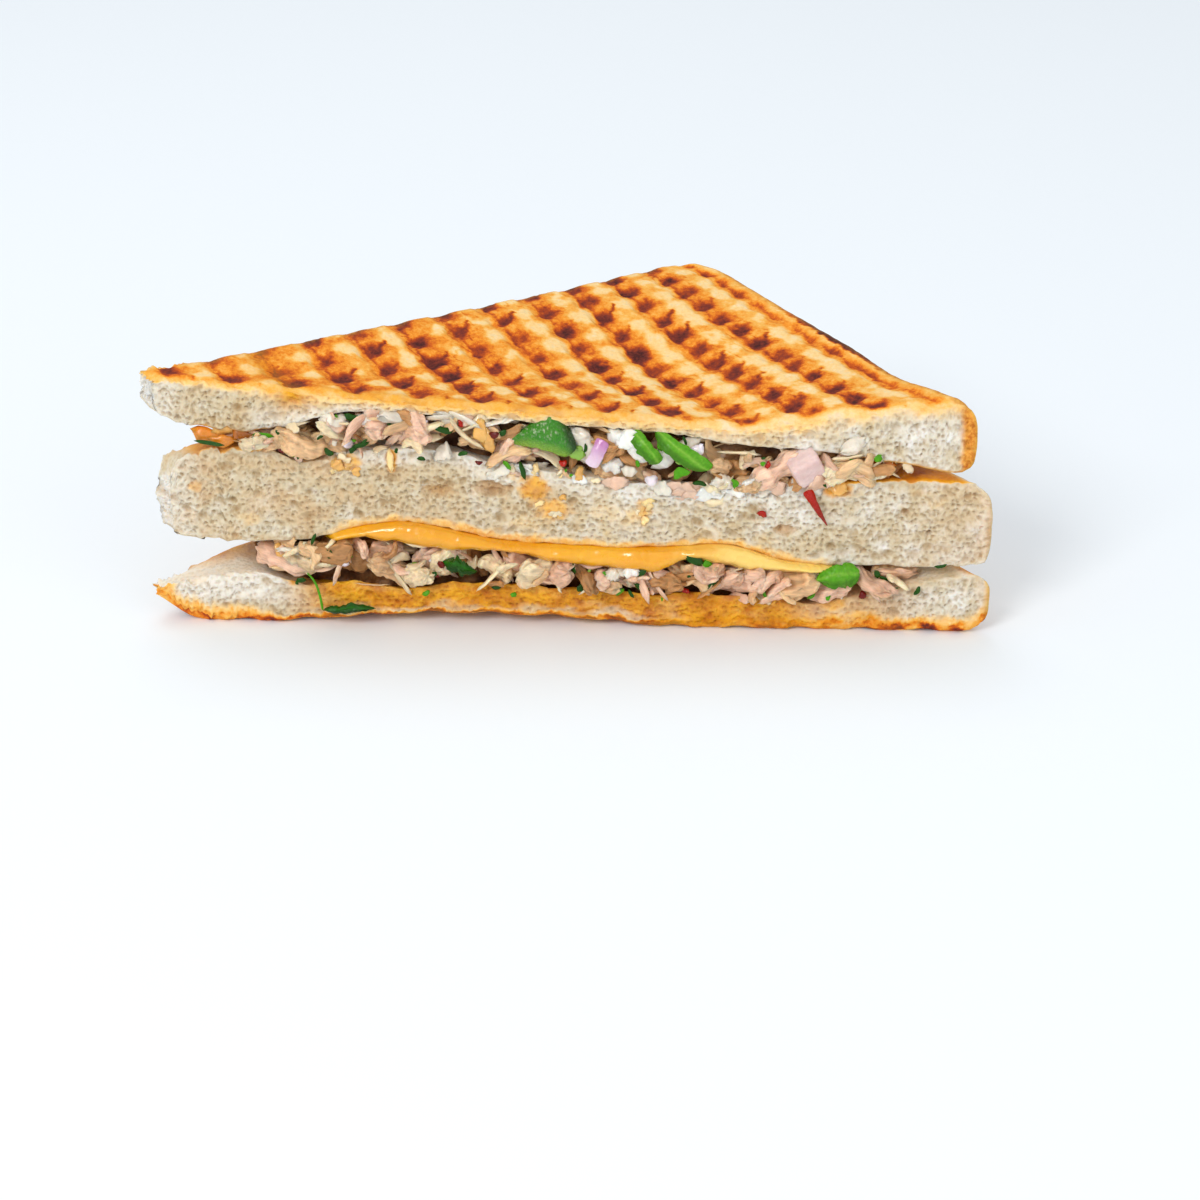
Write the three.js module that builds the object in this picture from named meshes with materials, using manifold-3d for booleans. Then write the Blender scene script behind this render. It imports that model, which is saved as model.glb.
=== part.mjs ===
// Half of a grilled triple-decker chicken sandwich, cut from corner to corner.
// Three slices of white bread hold two layers of shredded chicken; melted cheese
// hangs under the middle slice. All sizes are in millimetres, +Z is up, +X runs
// along the cut face and -Y is the side of the cut.
import * as THREE from 'three';
import { mergeVertices } from 'three/addons/utils/BufferGeometryUtils.js';
import Module from 'manifold-3d';

const wasm = await Module();
wasm.setup();

// ---------------------------------------------------------------- plan of the loaf slice
const LONG_CRUST = 123; // left corner to back corner
const SHORT_CRUST = 84; // back corner to right corner
const CUT = Math.hypot(LONG_CRUST, SHORT_CRUST); // length of the corner to corner cut
const COS = LONG_CRUST / CUT;
const SIN = SHORT_CRUST / CUT;
const CORNER_RADIUS = 12; // rounding of the loaf's back corner
const CORE_CORNER_RADIUS = 9;
const BASE_CENTRE = [1.775, 30.65]; // middle of the outline, in the plan's own numbers

// ---------------------------------------------------------------- grill pattern
const GRILL_PITCH = 8.95; // from one grill groove to the next
const FIRST_GROOVE = 16.5; // distance of the first groove from the left corner
const GROOVE_DEPTH = 1.5;
const SOLE_GROOVE_DEPTH = 1.0;
const GRILL_STEPS = 4; // grid columns in one pitch

// ---------------------------------------------------------------- edges and fits
const FIT = 0.35; // gap between a piece and the next one
const CHEESE_GAP = 0.6; // gap between the cheese and the slice above it
const CORE_GAP = 0.9; // gap between a filling's core and the slices
const SLIVER = 0.1; // edges shorter than this are closed up after a cut
const EDGE_ROUNDING = 1.5; // how far a crust edge is rolled over
const CRUST_BULGE = 1.1; // how far a crust wall swells
const CRUMB_ROUGHNESS = 0.55; // crags of the torn crumb on the cut face
const CHEESE_SHEET = 1.9; // thickness of the cheese inside the sandwich
const LIP_REACH = 5; // depth over which the cheese sags into its lip

// Where each layer starts and ends along the long crust.
const TOP_SLICE = { from: 5, to: 119.6 };
const MIDDLE_SLICE = { from: 6.6, to: 122.6 };
const BOTTOM_SLICE = { from: 4.0, to: 122.9 };
const CHEESE_SPAN = { from: 30, to: 101 };
const UPPER_CORE = { from: 16, to: 112 };
const LOWER_CORE = { from: 21, to: 112 };
const CRUST_INSET = 5; // distance of the fillings from the crusts
const CUT_INSET = 1.4; // distance of the fillings' core from the cut face

// Heights along the cut face: [distance from the middle of the cut, height].
const CUT_HEIGHTS = {
  topCrown: [[-70, 46.8], [-52, 44.9], [-18, 42.1], [15, 39.8], [33, 38.7], [50, 41.4], [70, 44]],
  topUnder: [[-70, 38.6], [-52, 36.4], [-34, 40.2], [-10, 39], [15, 37.3], [33, 35], [50, 33.4], [70, 30]],
  middleTop: [[-68, 31.6], [-50, 33], [-43, 30.8], [-30, 33.2], [-18, 33], [-9, 30.6], [7, 28.5],
    [24, 26.5], [41, 27.6], [58, 28.7], [75, 28.6]],
  middleUnder: [[-68, 16], [-45, 16.3], [-27, 20], [-9, 16.8], [15, 15.7], [30, 16.4], [41, 13.4],
    [58, 12.9], [75, 13.2]],
  cheeseLip: [[-38, 16.4], [-27, 14], [-8, 13.3], [7, 11.8], [16, 10.8], [23, 13.6], [33, 11.9], [47, 11.2]],
  bottomTop: [[-70, 6.3], [-53, 9.5], [-43, 7.2], [-27, 5.5], [-10, 6.1], [15, 5.2], [41, 4.5],
    [56, 7.6], [75, 12]],
  bottomUnder: [[-70, 5], [-63, 0.3], [-50, 0], [-22, 2], [0, 1.6], [22, 0], [75, 0]],
};
// Heights along the long crust: [distance from the left corner, height].
const CRUST_HEIGHTS = {
  topCrown: [[4, 46.8], [43, 46.2], [84, 45.9], [120, 46.4]],
  topUnder: [[4, 38.6], [25, 33.6], [60, 31.6], [120, 31.2]],
  middleTop: [[5, 31.6], [25, 31], [60, 29.3], [123, 28.9]],
  middleUnder: [[5, 16], [30, 15], [60, 14.5], [123, 14.3]],
  bottomTop: [[4, 6.3], [20, 10.6], [50, 12], [123, 12.2]],
  bottomUnder: [[4, 5], [10, 0.4], [16, 0], [123, 0]],
};
const SHORT_CRUST_SAG = { depth: 1.7, at: 62, width: 11, reach: 24 }; // dip of the lid at the short crust

// ---------------------------------------------------------------- numbers and noise
function seededRandom(seed) {
  let state = seed >>> 0;
  return () => {
    state = (state + 0x6d2b79f5) >>> 0;
    let mixed = Math.imul(state ^ (state >>> 15), state | 1);
    mixed ^= mixed + Math.imul(mixed ^ (mixed >>> 7), mixed | 61);
    return ((mixed ^ (mixed >>> 14)) >>> 0) / 4294967296;
  };
}

const mix = THREE.MathUtils.lerp;

// Eases from 0 at low to 1 at high, where low may also be the larger of the two.
function smooth(low, high, value) {
  const f = THREE.MathUtils.clamp((value - low) / (high - low), 0, 1);
  return f * f * (3 - 2 * f);
}

// Smooth waves that never line up: a cheap, repeatable unevenness between -1 and 1.
function unevenness(a, b, seed) {
  const first = Math.sin(a * 0.61 + seed * 1.7) * Math.cos(b * 0.53 - seed * 2.3);
  const second = Math.sin(a * 1.37 - b * 0.91 + seed * 4.1);
  return 0.6 * first + 0.4 * second;
}

// A curve through a few [x, z] points: cubic pieces whose slopes come from the neighbours.
function heightCurve(points) {
  const slope = (i) => {
    const before = points[Math.max(i - 1, 0)];
    const after = points[Math.min(i + 1, points.length - 1)];
    return (after[1] - before[1]) / (after[0] - before[0]);
  };
  return (x) => {
    const last = points.length - 1;
    const at = THREE.MathUtils.clamp(x, points[0][0], points[last][0]);
    let i = 0;
    while (i < last - 1 && at > points[i + 1][0]) i += 1;
    const [x0, z0] = points[i];
    const [x1, z1] = points[i + 1];
    const span = x1 - x0;
    const f = (at - x0) / span;
    const rise = f * f * (3 - 2 * f);
    const leave = f * (1 - f) * (1 - f);
    const arrive = f * f * (f - 1);
    return mix(z0, z1, rise) + span * (leave * slope(i) + arrive * slope(i + 1));
  };
}

// ---------------------------------------------------------------- the loaf's own grid
// u runs along the long crust from the left corner, v along the short crust from the
// back corner; the grill grooves run along v and the cut is the line v = u * tan.
const cutAt = (u) => u * (SIN / COS);
const alongCut = (u) => u / COS - CUT / 2;

function plan(u, v, end, start, radius) {
  const a = (u - (end - radius)) / radius;
  const b = (start + radius - v) / radius;
  let [pu, pv] = [u, v];
  if (a > 0 && b > 0) {
    pu = end - radius + radius * a * Math.sqrt(1 - (b * b) / 2);
    pv = start + radius - radius * b * Math.sqrt(1 - (a * a) / 2);
  }
  return [pu * COS + pv * SIN - CUT / 2, pu * SIN - pv * COS];
}

// The height of one face of a slice anywhere in the loaf, blended from crust to cut.
function layerHeight(name) {
  const onCut = heightCurve(CUT_HEIGHTS[name]);
  const onCrust = heightCurve(CRUST_HEIGHTS[name]);
  return (u, v) => {
    const inward = THREE.MathUtils.clamp(v / Math.max(cutAt(u), 1), 0, 1);
    return mix(onCrust(u), onCut(alongCut(u)), smooth(0, 0.6, inward));
  };
}

const height = Object.fromEntries(Object.keys(CRUST_HEIGHTS).map((name) => [name, layerHeight(name)]));

function grillWave(u) {
  const phase = (u - FIRST_GROOVE) / GRILL_PITCH;
  return 0.5 + 0.5 * Math.cos(2 * Math.PI * phase);
}

function crownHeight(u, v) {
  const { depth, at, width, reach } = SHORT_CRUST_SAG;
  const sag = depth * Math.exp(-(((v - at) / width) ** 2)) * smooth(LONG_CRUST - reach, LONG_CRUST, u);
  const marked = smooth(8, 16, u) * smooth(TOP_SLICE.to - 1, TOP_SLICE.to - 4, u);
  const groove = GROOVE_DEPTH * grillWave(u) * marked;
  return height.topCrown(u, v) - sag - groove + 0.25 * unevenness(u, v, 1);
}

// The sole keeps flat bands at height 0 between its grooves, to rest on.
function soleHeight(u, v) {
  const groove = SOLE_GROOVE_DEPTH * Math.max(0, 2 * grillWave(u) - 1) * smooth(10, 16, u);
  const nearCut = smooth(24, 4, cutAt(u) - v);
  const tip = smooth(14, 8, u);
  return groove + Math.max(height.bottomUnder(u, v), 0) * Math.max(nearCut, tip);
}

// ---------------------------------------------------------------- closed slabs on the grid
const CRUST_ROWS = [0, 0.035, 0.16, 0.32, 0.48, 0.64, 0.8, 0.93, 1];
const PLAIN_ROWS = [0, 0.08, 0.3, 0.55, 0.8, 1];

function grillColumns(from, to) {
  const step = GRILL_PITCH / GRILL_STEPS;
  const columns = [from];
  for (let u = FIRST_GROOVE - 8 * step; u < to - 0.6 * step; u += step) {
    if (u > from + 0.6 * step) columns.push(u);
  }
  columns.push(to);
  return columns;
}

function evenColumns(from, to, pitch) {
  const count = Math.round((to - from) / pitch);
  return Array.from({ length: count + 1 }, (unused, i) => mix(from, to, i / count));
}

// Walks once round a grid: the cut, the short crust, the long crust, the left end.
function perimeter(columns, rows) {
  const [n, m] = [columns.length - 1, rows.length - 1];
  const span = columns[n] - columns[0];
  const share = (i) => (columns[i] - columns[0]) / span;
  const stops = [];
  for (let i = 0; i < n; i += 1) stops.push({ i, j: m, s: share(i) });
  for (let j = m; j > 0; j -= 1) stops.push({ i: n, j, s: 2 - rows[j] });
  for (let i = n; i > 0; i -= 1) stops.push({ i, j: 0, s: 3 - share(i) });
  for (let j = 0; j < m; j += 1) stops.push({ i: 0, j, s: 3 + rows[j] });
  return stops;
}

// The triangles between two loops that run round the slab one above the other.
function zip(upper, lower, faces) {
  const along = (loop, k) => (k < loop.length ? loop[k].s : k - loop.length + 4);
  const id = (loop, k) => loop[k % loop.length].id;
  let [a, b] = [0, 0];
  while (a < upper.length || b < lower.length) {
    const upperFirst = b >= lower.length || (a < upper.length && along(upper, a + 1) <= along(lower, b + 1));
    if (upperFirst) {
      faces.push([id(lower, b), id(upper, a + 1), id(upper, a)]);
      a += 1;
    } else {
      faces.push([id(lower, b), id(lower, b + 1), id(upper, a)]);
      b += 1;
    }
  }
}

function bodyGeometry(vertices, faces) {
  const geometry = new THREE.BufferGeometry();
  geometry.setAttribute('position', new THREE.Float32BufferAttribute(vertices.flat(), 3));
  geometry.setIndex(faces.flat());
  return geometry;
}

// A slab between two height functions. grow swells it on every side, for cutting fits.
function slab(shape, grow = 0) {
  const { topColumns, underColumns, rows, low, high, top, under, wall, levels, radius } = shape;
  const vertices = [];
  const faces = [];
  const end = topColumns.at(-1);
  const start = low(end);

  const outwardLoop = (columns, fraction) => {
    const stops = perimeter(columns, rows);
    const spots = stops.map(({ i, j }) => {
      const u = columns[i];
      const v = mix(low(u), high(u), rows[j]);
      return { u, v, spot: plan(u, v, end, start, radius) };
    });
    return stops.map((stop, k) => {
      const before = spots[(k + spots.length - 1) % spots.length].spot;
      const after = spots[(k + 1) % spots.length].spot;
      const run = Math.hypot(after[0] - before[0], after[1] - before[1]);
      const { u, v, spot } = spots[k];
      const out = wall(stop.s, fraction, u) + grow;
      const x = spot[0] + (out * (after[1] - before[1])) / run;
      const y = spot[1] - (out * (after[0] - before[0])) / run;
      return { ...stop, u, v, x, y };
    });
  };

  const rolled = (stop) => (stop.s > 1 && stop.s < 3.01 ? shape.rolled : 0);
  const face = (columns, heightOf, side) => {
    const grid = columns.map((u) => rows.map((row) => {
      const v = mix(low(u), high(u), row);
      const [x, y] = plan(u, v, end, start, radius);
      vertices.push([x, y, heightOf(u, v) + side * grow]);
      return vertices.length - 1;
    }));
    const loop = outwardLoop(columns, side > 0 ? 0 : 1);
    for (const stop of loop) {
      stop.id = grid[stop.i][stop.j];
      const z = vertices[stop.id][2] - side * rolled(stop);
      vertices[stop.id] = [stop.x, stop.y, z];
    }
    for (let i = 0; i + 1 < columns.length; i += 1) {
      for (let j = 0; j + 1 < rows.length; j += 1) {
        const [a, b, c, d] = [grid[i][j], grid[i][j + 1], grid[i + 1][j + 1], grid[i + 1][j]];
        if (side > 0) faces.push([a, b, c], [a, c, d]);
        else faces.push([a, c, b], [a, d, c]);
      }
    }
    return loop;
  };

  const topLoop = face(topColumns, top, 1);
  const underLoop = face(underColumns, under, -1);
  const wallColumns = topColumns.length > underColumns.length ? topColumns : underColumns;
  let above = topLoop;
  for (const fraction of levels) {
    const loop = outwardLoop(wallColumns, fraction);
    for (const stop of loop) {
      const upper = top(stop.u, stop.v) + grow;
      const lower = under(stop.u, stop.v) - grow;
      vertices.push([stop.x, stop.y, mix(upper, lower, fraction)]);
      stop.id = vertices.length - 1;
    }
    zip(above, loop, faces);
    above = loop;
  }
  zip(above, underLoop, faces);
  return bodyGeometry(vertices, faces);
}

// The cut face is torn crumb; the crusts are smooth walls that swell in the middle.
function breadWall(seed) {
  return (s, fraction, u) => {
    const middle = 4 * fraction * (1 - fraction);
    if (s < 1 || s > 3.01) return CRUMB_ROUGHNESS * unevenness(2.1 * u, 9 * fraction, seed);
    return CRUST_BULGE * middle;
  };
}

// ---------------------------------------------------------------- bread, cheese, filling cores
const atCut = (u) => cutAt(u);
const atCrust = () => 0;

const bread = {
  top: {
    topColumns: grillColumns(TOP_SLICE.from, TOP_SLICE.to),
    underColumns: evenColumns(TOP_SLICE.from, TOP_SLICE.to, GRILL_PITCH / 2),
    rows: CRUST_ROWS,
    low: atCrust,
    high: atCut,
    top: crownHeight,
    under: height.topUnder,
    wall: breadWall(3),
    levels: [0.22, 0.7],
    radius: CORNER_RADIUS,
    rolled: EDGE_ROUNDING,
  },
  middle: {
    topColumns: evenColumns(MIDDLE_SLICE.from, MIDDLE_SLICE.to, GRILL_PITCH / 2),
    underColumns: evenColumns(MIDDLE_SLICE.from, MIDDLE_SLICE.to, GRILL_PITCH / 2),
    rows: PLAIN_ROWS,
    low: atCrust,
    high: atCut,
    top: height.middleTop,
    under: height.middleUnder,
    wall: breadWall(7),
    levels: [0.25, 0.5, 0.78],
    radius: CORNER_RADIUS,
    rolled: EDGE_ROUNDING,
  },
  bottom: {
    topColumns: evenColumns(BOTTOM_SLICE.from, BOTTOM_SLICE.to, GRILL_PITCH / 2),
    underColumns: grillColumns(BOTTOM_SLICE.from, BOTTOM_SLICE.to),
    rows: CRUST_ROWS,
    low: atCrust,
    high: atCut,
    top: height.bottomTop,
    under: soleHeight,
    wall: breadWall(11),
    levels: [0.3, 0.75],
    radius: CORNER_RADIUS,
    rolled: EDGE_ROUNDING,
  },
};

// The cheese follows the middle slice and thickens into a sagging lip at the cut.
const lipHeight = heightCurve(CUT_HEIGHTS.cheeseLip);
const cheese = {
  topColumns: evenColumns(CHEESE_SPAN.from, CHEESE_SPAN.to, 3),
  underColumns: evenColumns(CHEESE_SPAN.from, CHEESE_SPAN.to, 3),
  rows: [0, 0.3, 0.65, 0.9, 1],
  low: () => CRUST_INSET + 2,
  high: (u) => cutAt(u) + 1.3 + 0.5 * unevenness(u, 0, 5),
  top: (u, v) => height.middleUnder(u, v) - CHEESE_GAP,
  under: (u, v) => {
    const sheet = height.middleUnder(u, v) - CHEESE_GAP - CHEESE_SHEET;
    const sagged = Math.min(sheet, lipHeight(alongCut(u)));
    return mix(sheet, sagged, smooth(cutAt(u) - LIP_REACH, cutAt(u), v));
  },
  wall: (s, fraction) => 0.7 * 4 * fraction * (1 - fraction),
  levels: [0.5],
  radius: CORE_CORNER_RADIUS,
  rolled: 0,
};

function fillingCore(span, top, under) {
  const columns = evenColumns(span.from, span.to, 7);
  return {
    topColumns: columns,
    underColumns: columns,
    rows: PLAIN_ROWS,
    low: () => CRUST_INSET,
    high: (u) => cutAt(u) - CUT_INSET / COS,
    top: (u, v) => top(u, v) - CORE_GAP,
    under: (u, v) => under(u, v) + CORE_GAP,
    wall: (s, fraction, u) => 0.5 * unevenness(u * 1.5, fraction * 6, 13),
    levels: [0.5],
    radius: CORE_CORNER_RADIUS,
    rolled: 0,
  };
}

// ---------------------------------------------------------------- pieces that show in the fillings
// A torn piece of chicken: a few-sided lump, longer along its fibres, with uneven corners.
function chickenPiece(random, length, width, place, turn) {
  const geometry = new THREE.IcosahedronGeometry(1, 0);
  geometry.deleteAttribute('normal');
  geometry.deleteAttribute('uv');
  const lump = mergeVertices(geometry);
  const position = lump.getAttribute('position');
  for (let i = 0; i < position.count; i += 1) {
    const swell = 0.78 + 0.44 * random();
    position.setXYZ(i, position.getX(i) * swell, position.getY(i) * swell, position.getZ(i) * swell);
  }
  lump.scale(length / 2, width / 2, width / 2.4);
  lump.rotateZ(turn[0]);
  lump.rotateY(turn[1]);
  lump.translate(...place);
  return lump;
}

// Rows of chicken pieces along the cut, each as high as the gap it lies in.
function chickenPieces({ from, to, pitch, size, depths, middleAt, seed }) {
  const random = seededRandom(seed);
  const pieces = [];
  for (const depth of depths) {
    for (let x = from + pitch * random(); x < to; x += pitch * (0.75 + 0.5 * random())) {
      const [low, high] = middleAt(x);
      const room = high - low;
      const width = Math.min(size * (0.7 + 0.5 * random()), room + 0.6);
      const z = mix(low, high, 0.3 + 0.4 * random());
      const turn = [(random() - 0.5) * 2.4, (random() - 0.5) * 1.6];
      pieces.push(chickenPiece(random, width * (1.2 + 0.7 * random()), width, [x, depth, z], turn));
    }
  }
  return pieces;
}

// A thin cupped strip along a curve, with both faces split alike: leaves, peel, onion.
function strip({ path, across, width, thickness, cup = 0, steps = 8, widthAt = () => 1 }, grow = 0) {
  const curve = new THREE.CatmullRomCurve3(path.map((point) => new THREE.Vector3(...point)));
  const side = new THREE.Vector3(...across).normalize();
  const ROW = [-1, -0.5, 0, 0.5, 1];
  const vertices = [];
  const faces = [];
  for (let i = 0; i <= steps; i += 1) {
    const centre = curve.getPoint(i / steps);
    const tangent = curve.getTangent(i / steps);
    if (grow && i === 0) centre.addScaledVector(tangent, -grow);
    if (grow && i === steps) centre.addScaledVector(tangent, grow);
    const face = new THREE.Vector3().crossVectors(tangent, side).normalize();
    const half = (width / 2) * widthAt(i / steps) + grow;
    for (const level of [1, -1]) {
      for (const k of ROW) {
        const lift = level * (thickness / 2 + grow) * (1 - 0.35 * k * k) - cup * k * k;
        const point = centre.clone().addScaledVector(side, half * k).addScaledVector(face, lift);
        vertices.push(point.toArray());
      }
    }
  }
  const m = ROW.length;
  const at = (i, level, k) => i * 2 * m + level * m + k;
  const quad = (a, b, c, d) => faces.push([a, b, c], [a, c, d]);
  const e = m - 1;
  for (let i = 0; i < steps; i += 1) {
    for (let k = 0; k < e; k += 1) {
      quad(at(i, 0, k), at(i + 1, 0, k), at(i + 1, 0, k + 1), at(i, 0, k + 1));
      quad(at(i + 1, 1, k + 1), at(i + 1, 1, k), at(i, 1, k), at(i, 1, k + 1));
    }
    quad(at(i, 0, 0), at(i, 1, 0), at(i + 1, 1, 0), at(i + 1, 0, 0));
    quad(at(i, 0, e), at(i + 1, 0, e), at(i + 1, 1, e), at(i, 1, e));
  }
  for (let k = 0; k < e; k += 1) {
    quad(at(0, 0, k), at(0, 0, k + 1), at(0, 1, k + 1), at(0, 1, k));
    quad(at(steps, 0, k), at(steps, 1, k), at(steps, 1, k + 1), at(steps, 0, k + 1));
  }
  return bodyGeometry(vertices, faces);
}

const leafWidth = (s) => Math.max(0.12, Math.sin(Math.PI * Math.min(0.06 + 0.94 * s, 0.985)) ** 0.7);
const taper = (s) => Math.max(0.15, 1 - 0.85 * s);

// The larger pieces of garnish that show on the cut face.
const GARNISH = {
  green_pepper: {
    path: [[-6.6, 0.9, 36.6], [-3.6, -1.3, 38.4], [0.2, -1.7, 37.6], [3.2, -0.4, 35.2]],
    across: [0.25, 0.35, 1], width: 5.2, thickness: 1.4, cup: 0.9, color: 0x5fae3a,
  },
  leaf_left: {
    path: [[12.4, 1.2, 37.4], [14.6, -1.5, 35.8], [16.4, -1.9, 33.8], [17.6, -0.8, 32]],
    across: [1, 0.2, 0.7], width: 3.6, thickness: 0.7, cup: 0.5, widthAt: leafWidth, color: 0x4f9a34,
  },
  leaf_right: {
    path: [[17.2, 0.6, 37.3], [19.8, -1.9, 35.4], [23, -2.1, 33], [26.2, -0.9, 30.8]],
    across: [0.8, 0.1, 1], width: 4.6, thickness: 0.7, cup: 0.5, widthAt: leafWidth, color: 0x69b83f,
  },
  onion_strip: {
    path: [[7.7, 1.1, 36.4], [7.5, -1.2, 35.2], [6.5, -1.5, 33.4], [5.5, -0.6, 31.6]],
    across: [1, 0, 0.3], width: 3, thickness: 1.5, cup: 0.5, steps: 5, color: 0xb58bc0,
  },
  chilli_sliver: {
    path: [[42.9, -1.7, 27.6], [44, -2, 25.6], [45.3, -1.9, 23.2], [46.6, -1.6, 21]],
    across: [1, 0.1, 0.4], width: 2, thickness: 0.8, cup: 0.3, steps: 5, widthAt: taper, color: 0xb53a1e,
  },
  lower_leaf: {
    path: [[45.2, -1.1, 10.6], [47.6, -2.2, 11.4], [50, -2.2, 11.9], [52.4, -1.2, 12.2]],
    across: [-0.3, 0.2, 1], width: 4.2, thickness: 1, cup: 0.5, widthAt: leafWidth, color: 0x63b63c,
  },
  herb_tuft: {
    path: [[-19.6, 0.4, 12.2], [-17.8, -1.6, 12.6], [-15.8, -1.9, 12], [-13.8, -0.8, 11.2]],
    across: [0, 0.3, 1], width: 3.2, thickness: 0.8, cup: 0.4, steps: 6, widthAt: leafWidth, color: 0x2f6b2a,
  },
  sprig_leaf: {
    path: [[-40.8, -1.7, 3.6], [-38, -2.1, 3.8], [-34.8, -2.1, 4.2], [-31.6, -1.7, 4]],
    across: [0.1, 0.2, 1], width: 2.6, thickness: 0.7, cup: 0.3, steps: 6, widthAt: leafWidth,
    color: 0x47802f,
  },
};
const CHICKEN_CUBE = { centre: [42.6, 0.4, 31.2], size: [5.6, 5, 5.6], turn: [0.35, -0.5, 0.2] };

function chickenCube(grow = 0) {
  const { centre, size, turn } = CHICKEN_CUBE;
  const cube = new THREE.BoxGeometry(...size.map((side) => side + 2 * grow), 2, 2, 2);
  cube.deleteAttribute('normal');
  cube.deleteAttribute('uv');
  const block = mergeVertices(cube);
  const position = block.getAttribute('position');
  for (let i = 0; i < position.count; i += 1) {
    const corner = new THREE.Vector3().fromBufferAttribute(position, i);
    const round = 1 - 0.12 * (Math.abs(corner.x * corner.y * corner.z) > 1 ? 1 : 0);
    position.setXYZ(i, corner.x * round, corner.y * round, corner.z * round);
  }
  block.rotateX(turn[0]).rotateY(turn[1]).rotateZ(turn[2]);
  return block.translate(...centre);
}

// ---------------------------------------------------------------- joins and cuts
function toSolid(geometry) {
  const mesh = new wasm.Mesh({
    numProp: 3,
    vertProperties: new Float32Array(geometry.getAttribute('position').array),
    triVerts: new Uint32Array(geometry.getIndex().array),
  });
  return new wasm.Manifold(mesh);
}

function toGeometry(solid) {
  const mesh = solid.getMesh();
  const geometry = new THREE.BufferGeometry();
  geometry.setAttribute('position', new THREE.BufferAttribute(mesh.vertProperties, 3));
  geometry.setIndex(new THREE.BufferAttribute(mesh.triVerts, 1));
  return geometry;
}

// Cuts the tools out of a solid and keeps its largest body.
function fitted(solid, tools) {
  const rest = tools.reduce((left, tool) => left.subtract(tool), solid);
  const bodies = rest.simplify(SLIVER).decompose();
  return bodies.reduce((best, body) => (body.volume() > best.volume() ? body : best));
}

const grownBread = Object.values(bread).map((shape) => toSolid(slab(shape, FIT)));
const grownCheese = toSolid(slab(cheese, FIT));
const grownGarnish = Object.values(GARNISH).map((piece) => toSolid(strip(piece, FIT)));
const garnishSolids = Object.entries(GARNISH).map(([name, piece], order) => [
  name,
  fitted(toSolid(strip(piece)), [...grownBread, grownCheese, ...grownGarnish.slice(0, order)]),
]);
const cubeSolid = fitted(toSolid(chickenCube()), grownBread);

function filling(core, pieces) {
  const heap = pieces.reduce((whole, piece) => whole.add(toSolid(piece)), toSolid(slab(core)));
  return fitted(heap, [...grownBread, grownCheese, ...grownGarnish, toSolid(chickenCube(FIT))]);
}

const cutHeight = (name) => heightCurve(CUT_HEIGHTS[name]);
const [underLid, onMiddle, underMiddle, onBottom] = ['topUnder', 'middleTop', 'middleUnder', 'bottomTop']
  .map(cutHeight);

const upperFilling = filling(
  fillingCore(UPPER_CORE, height.topUnder, height.middleTop),
  chickenPieces({
    from: -54, to: 60, pitch: 8.5, size: 7, depths: [0.9, 2.6], seed: 21,
    middleAt: (x) => [onMiddle(x), underLid(x)],
  }),
);
const lowerFilling = filling(
  fillingCore(LOWER_CORE, height.middleUnder, height.bottomTop),
  chickenPieces({
    from: -50, to: 58, pitch: 8, size: 6.2, depths: [0.6, 2.4], seed: 34,
    middleAt: (x) => [onBottom(x), Math.min(underMiddle(x), x < -39 ? 15 : lipHeight(x))],
  }),
);

// ---------------------------------------------------------------- the sandwich
const sandwich = new THREE.Group();
sandwich.position.set(-BASE_CENTRE[0], -BASE_CENTRE[1], 0);

function addPiece(name, geometry, color, roughness) {
  const material = new THREE.MeshStandardMaterial({ color, roughness, metalness: 0 });
  const mesh = new THREE.Mesh(geometry, material);
  mesh.name = name;
  sandwich.add(mesh);
}

addPiece('bread_top', slab(bread.top), 0xd98a3d, 0.75);
addPiece('filling_upper', toGeometry(upperFilling), 0xd9b89c, 0.6);
addPiece('bread_middle', slab(bread.middle), 0xebe4d6, 0.9);
addPiece('cheese', slab(cheese), 0xf2ab32, 0.3);
addPiece('filling_lower', toGeometry(lowerFilling), 0xd3a988, 0.6);
addPiece('bread_bottom', slab(bread.bottom), 0xe2b878, 0.8);
addPiece('chicken_cube', toGeometry(cubeSolid), 0xdcbcb4, 0.55);
for (const [name, solid] of garnishSolids) addPiece(name, toGeometry(solid), GARNISH[name].color, 0.4);

export default sandwich;
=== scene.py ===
"""Looks of one half of a grilled triple-decker chicken sandwich, cut from corner to corner.

Three slices of white bread, two layers of shredded chicken in dressing, melted cheese and
garnish are made as surfaces worked out with numpy, in millimetres, and stand for the solids
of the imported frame. +X runs along the cut face, -Y is the side of the cut, +Z is up.
"""

import logging
import math
from dataclasses import astuple, dataclass, field
from enum import Enum
from functools import cache
from typing import Callable, ClassVar, Sequence

import bpy
import numpy as np
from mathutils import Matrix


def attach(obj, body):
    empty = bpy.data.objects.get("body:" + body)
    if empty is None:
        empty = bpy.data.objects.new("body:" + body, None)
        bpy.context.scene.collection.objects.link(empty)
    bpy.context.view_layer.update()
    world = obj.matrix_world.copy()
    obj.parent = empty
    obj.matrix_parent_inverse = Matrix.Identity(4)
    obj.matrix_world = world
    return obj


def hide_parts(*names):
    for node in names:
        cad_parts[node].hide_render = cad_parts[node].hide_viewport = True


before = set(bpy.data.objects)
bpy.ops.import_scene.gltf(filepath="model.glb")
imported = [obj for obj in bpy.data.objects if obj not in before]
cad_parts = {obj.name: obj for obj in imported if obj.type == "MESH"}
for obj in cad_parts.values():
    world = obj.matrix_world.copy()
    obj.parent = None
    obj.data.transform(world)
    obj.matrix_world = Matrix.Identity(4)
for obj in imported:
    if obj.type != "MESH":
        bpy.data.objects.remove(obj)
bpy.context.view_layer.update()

LOG = logging.getLogger("sandwich")
Array = np.ndarray
Line = Callable[[Array], Array]  # a height by distance along the cut, or the v of an edge by u
Face = Callable[[Array, Array], Array]  # a height by u and v
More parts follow.
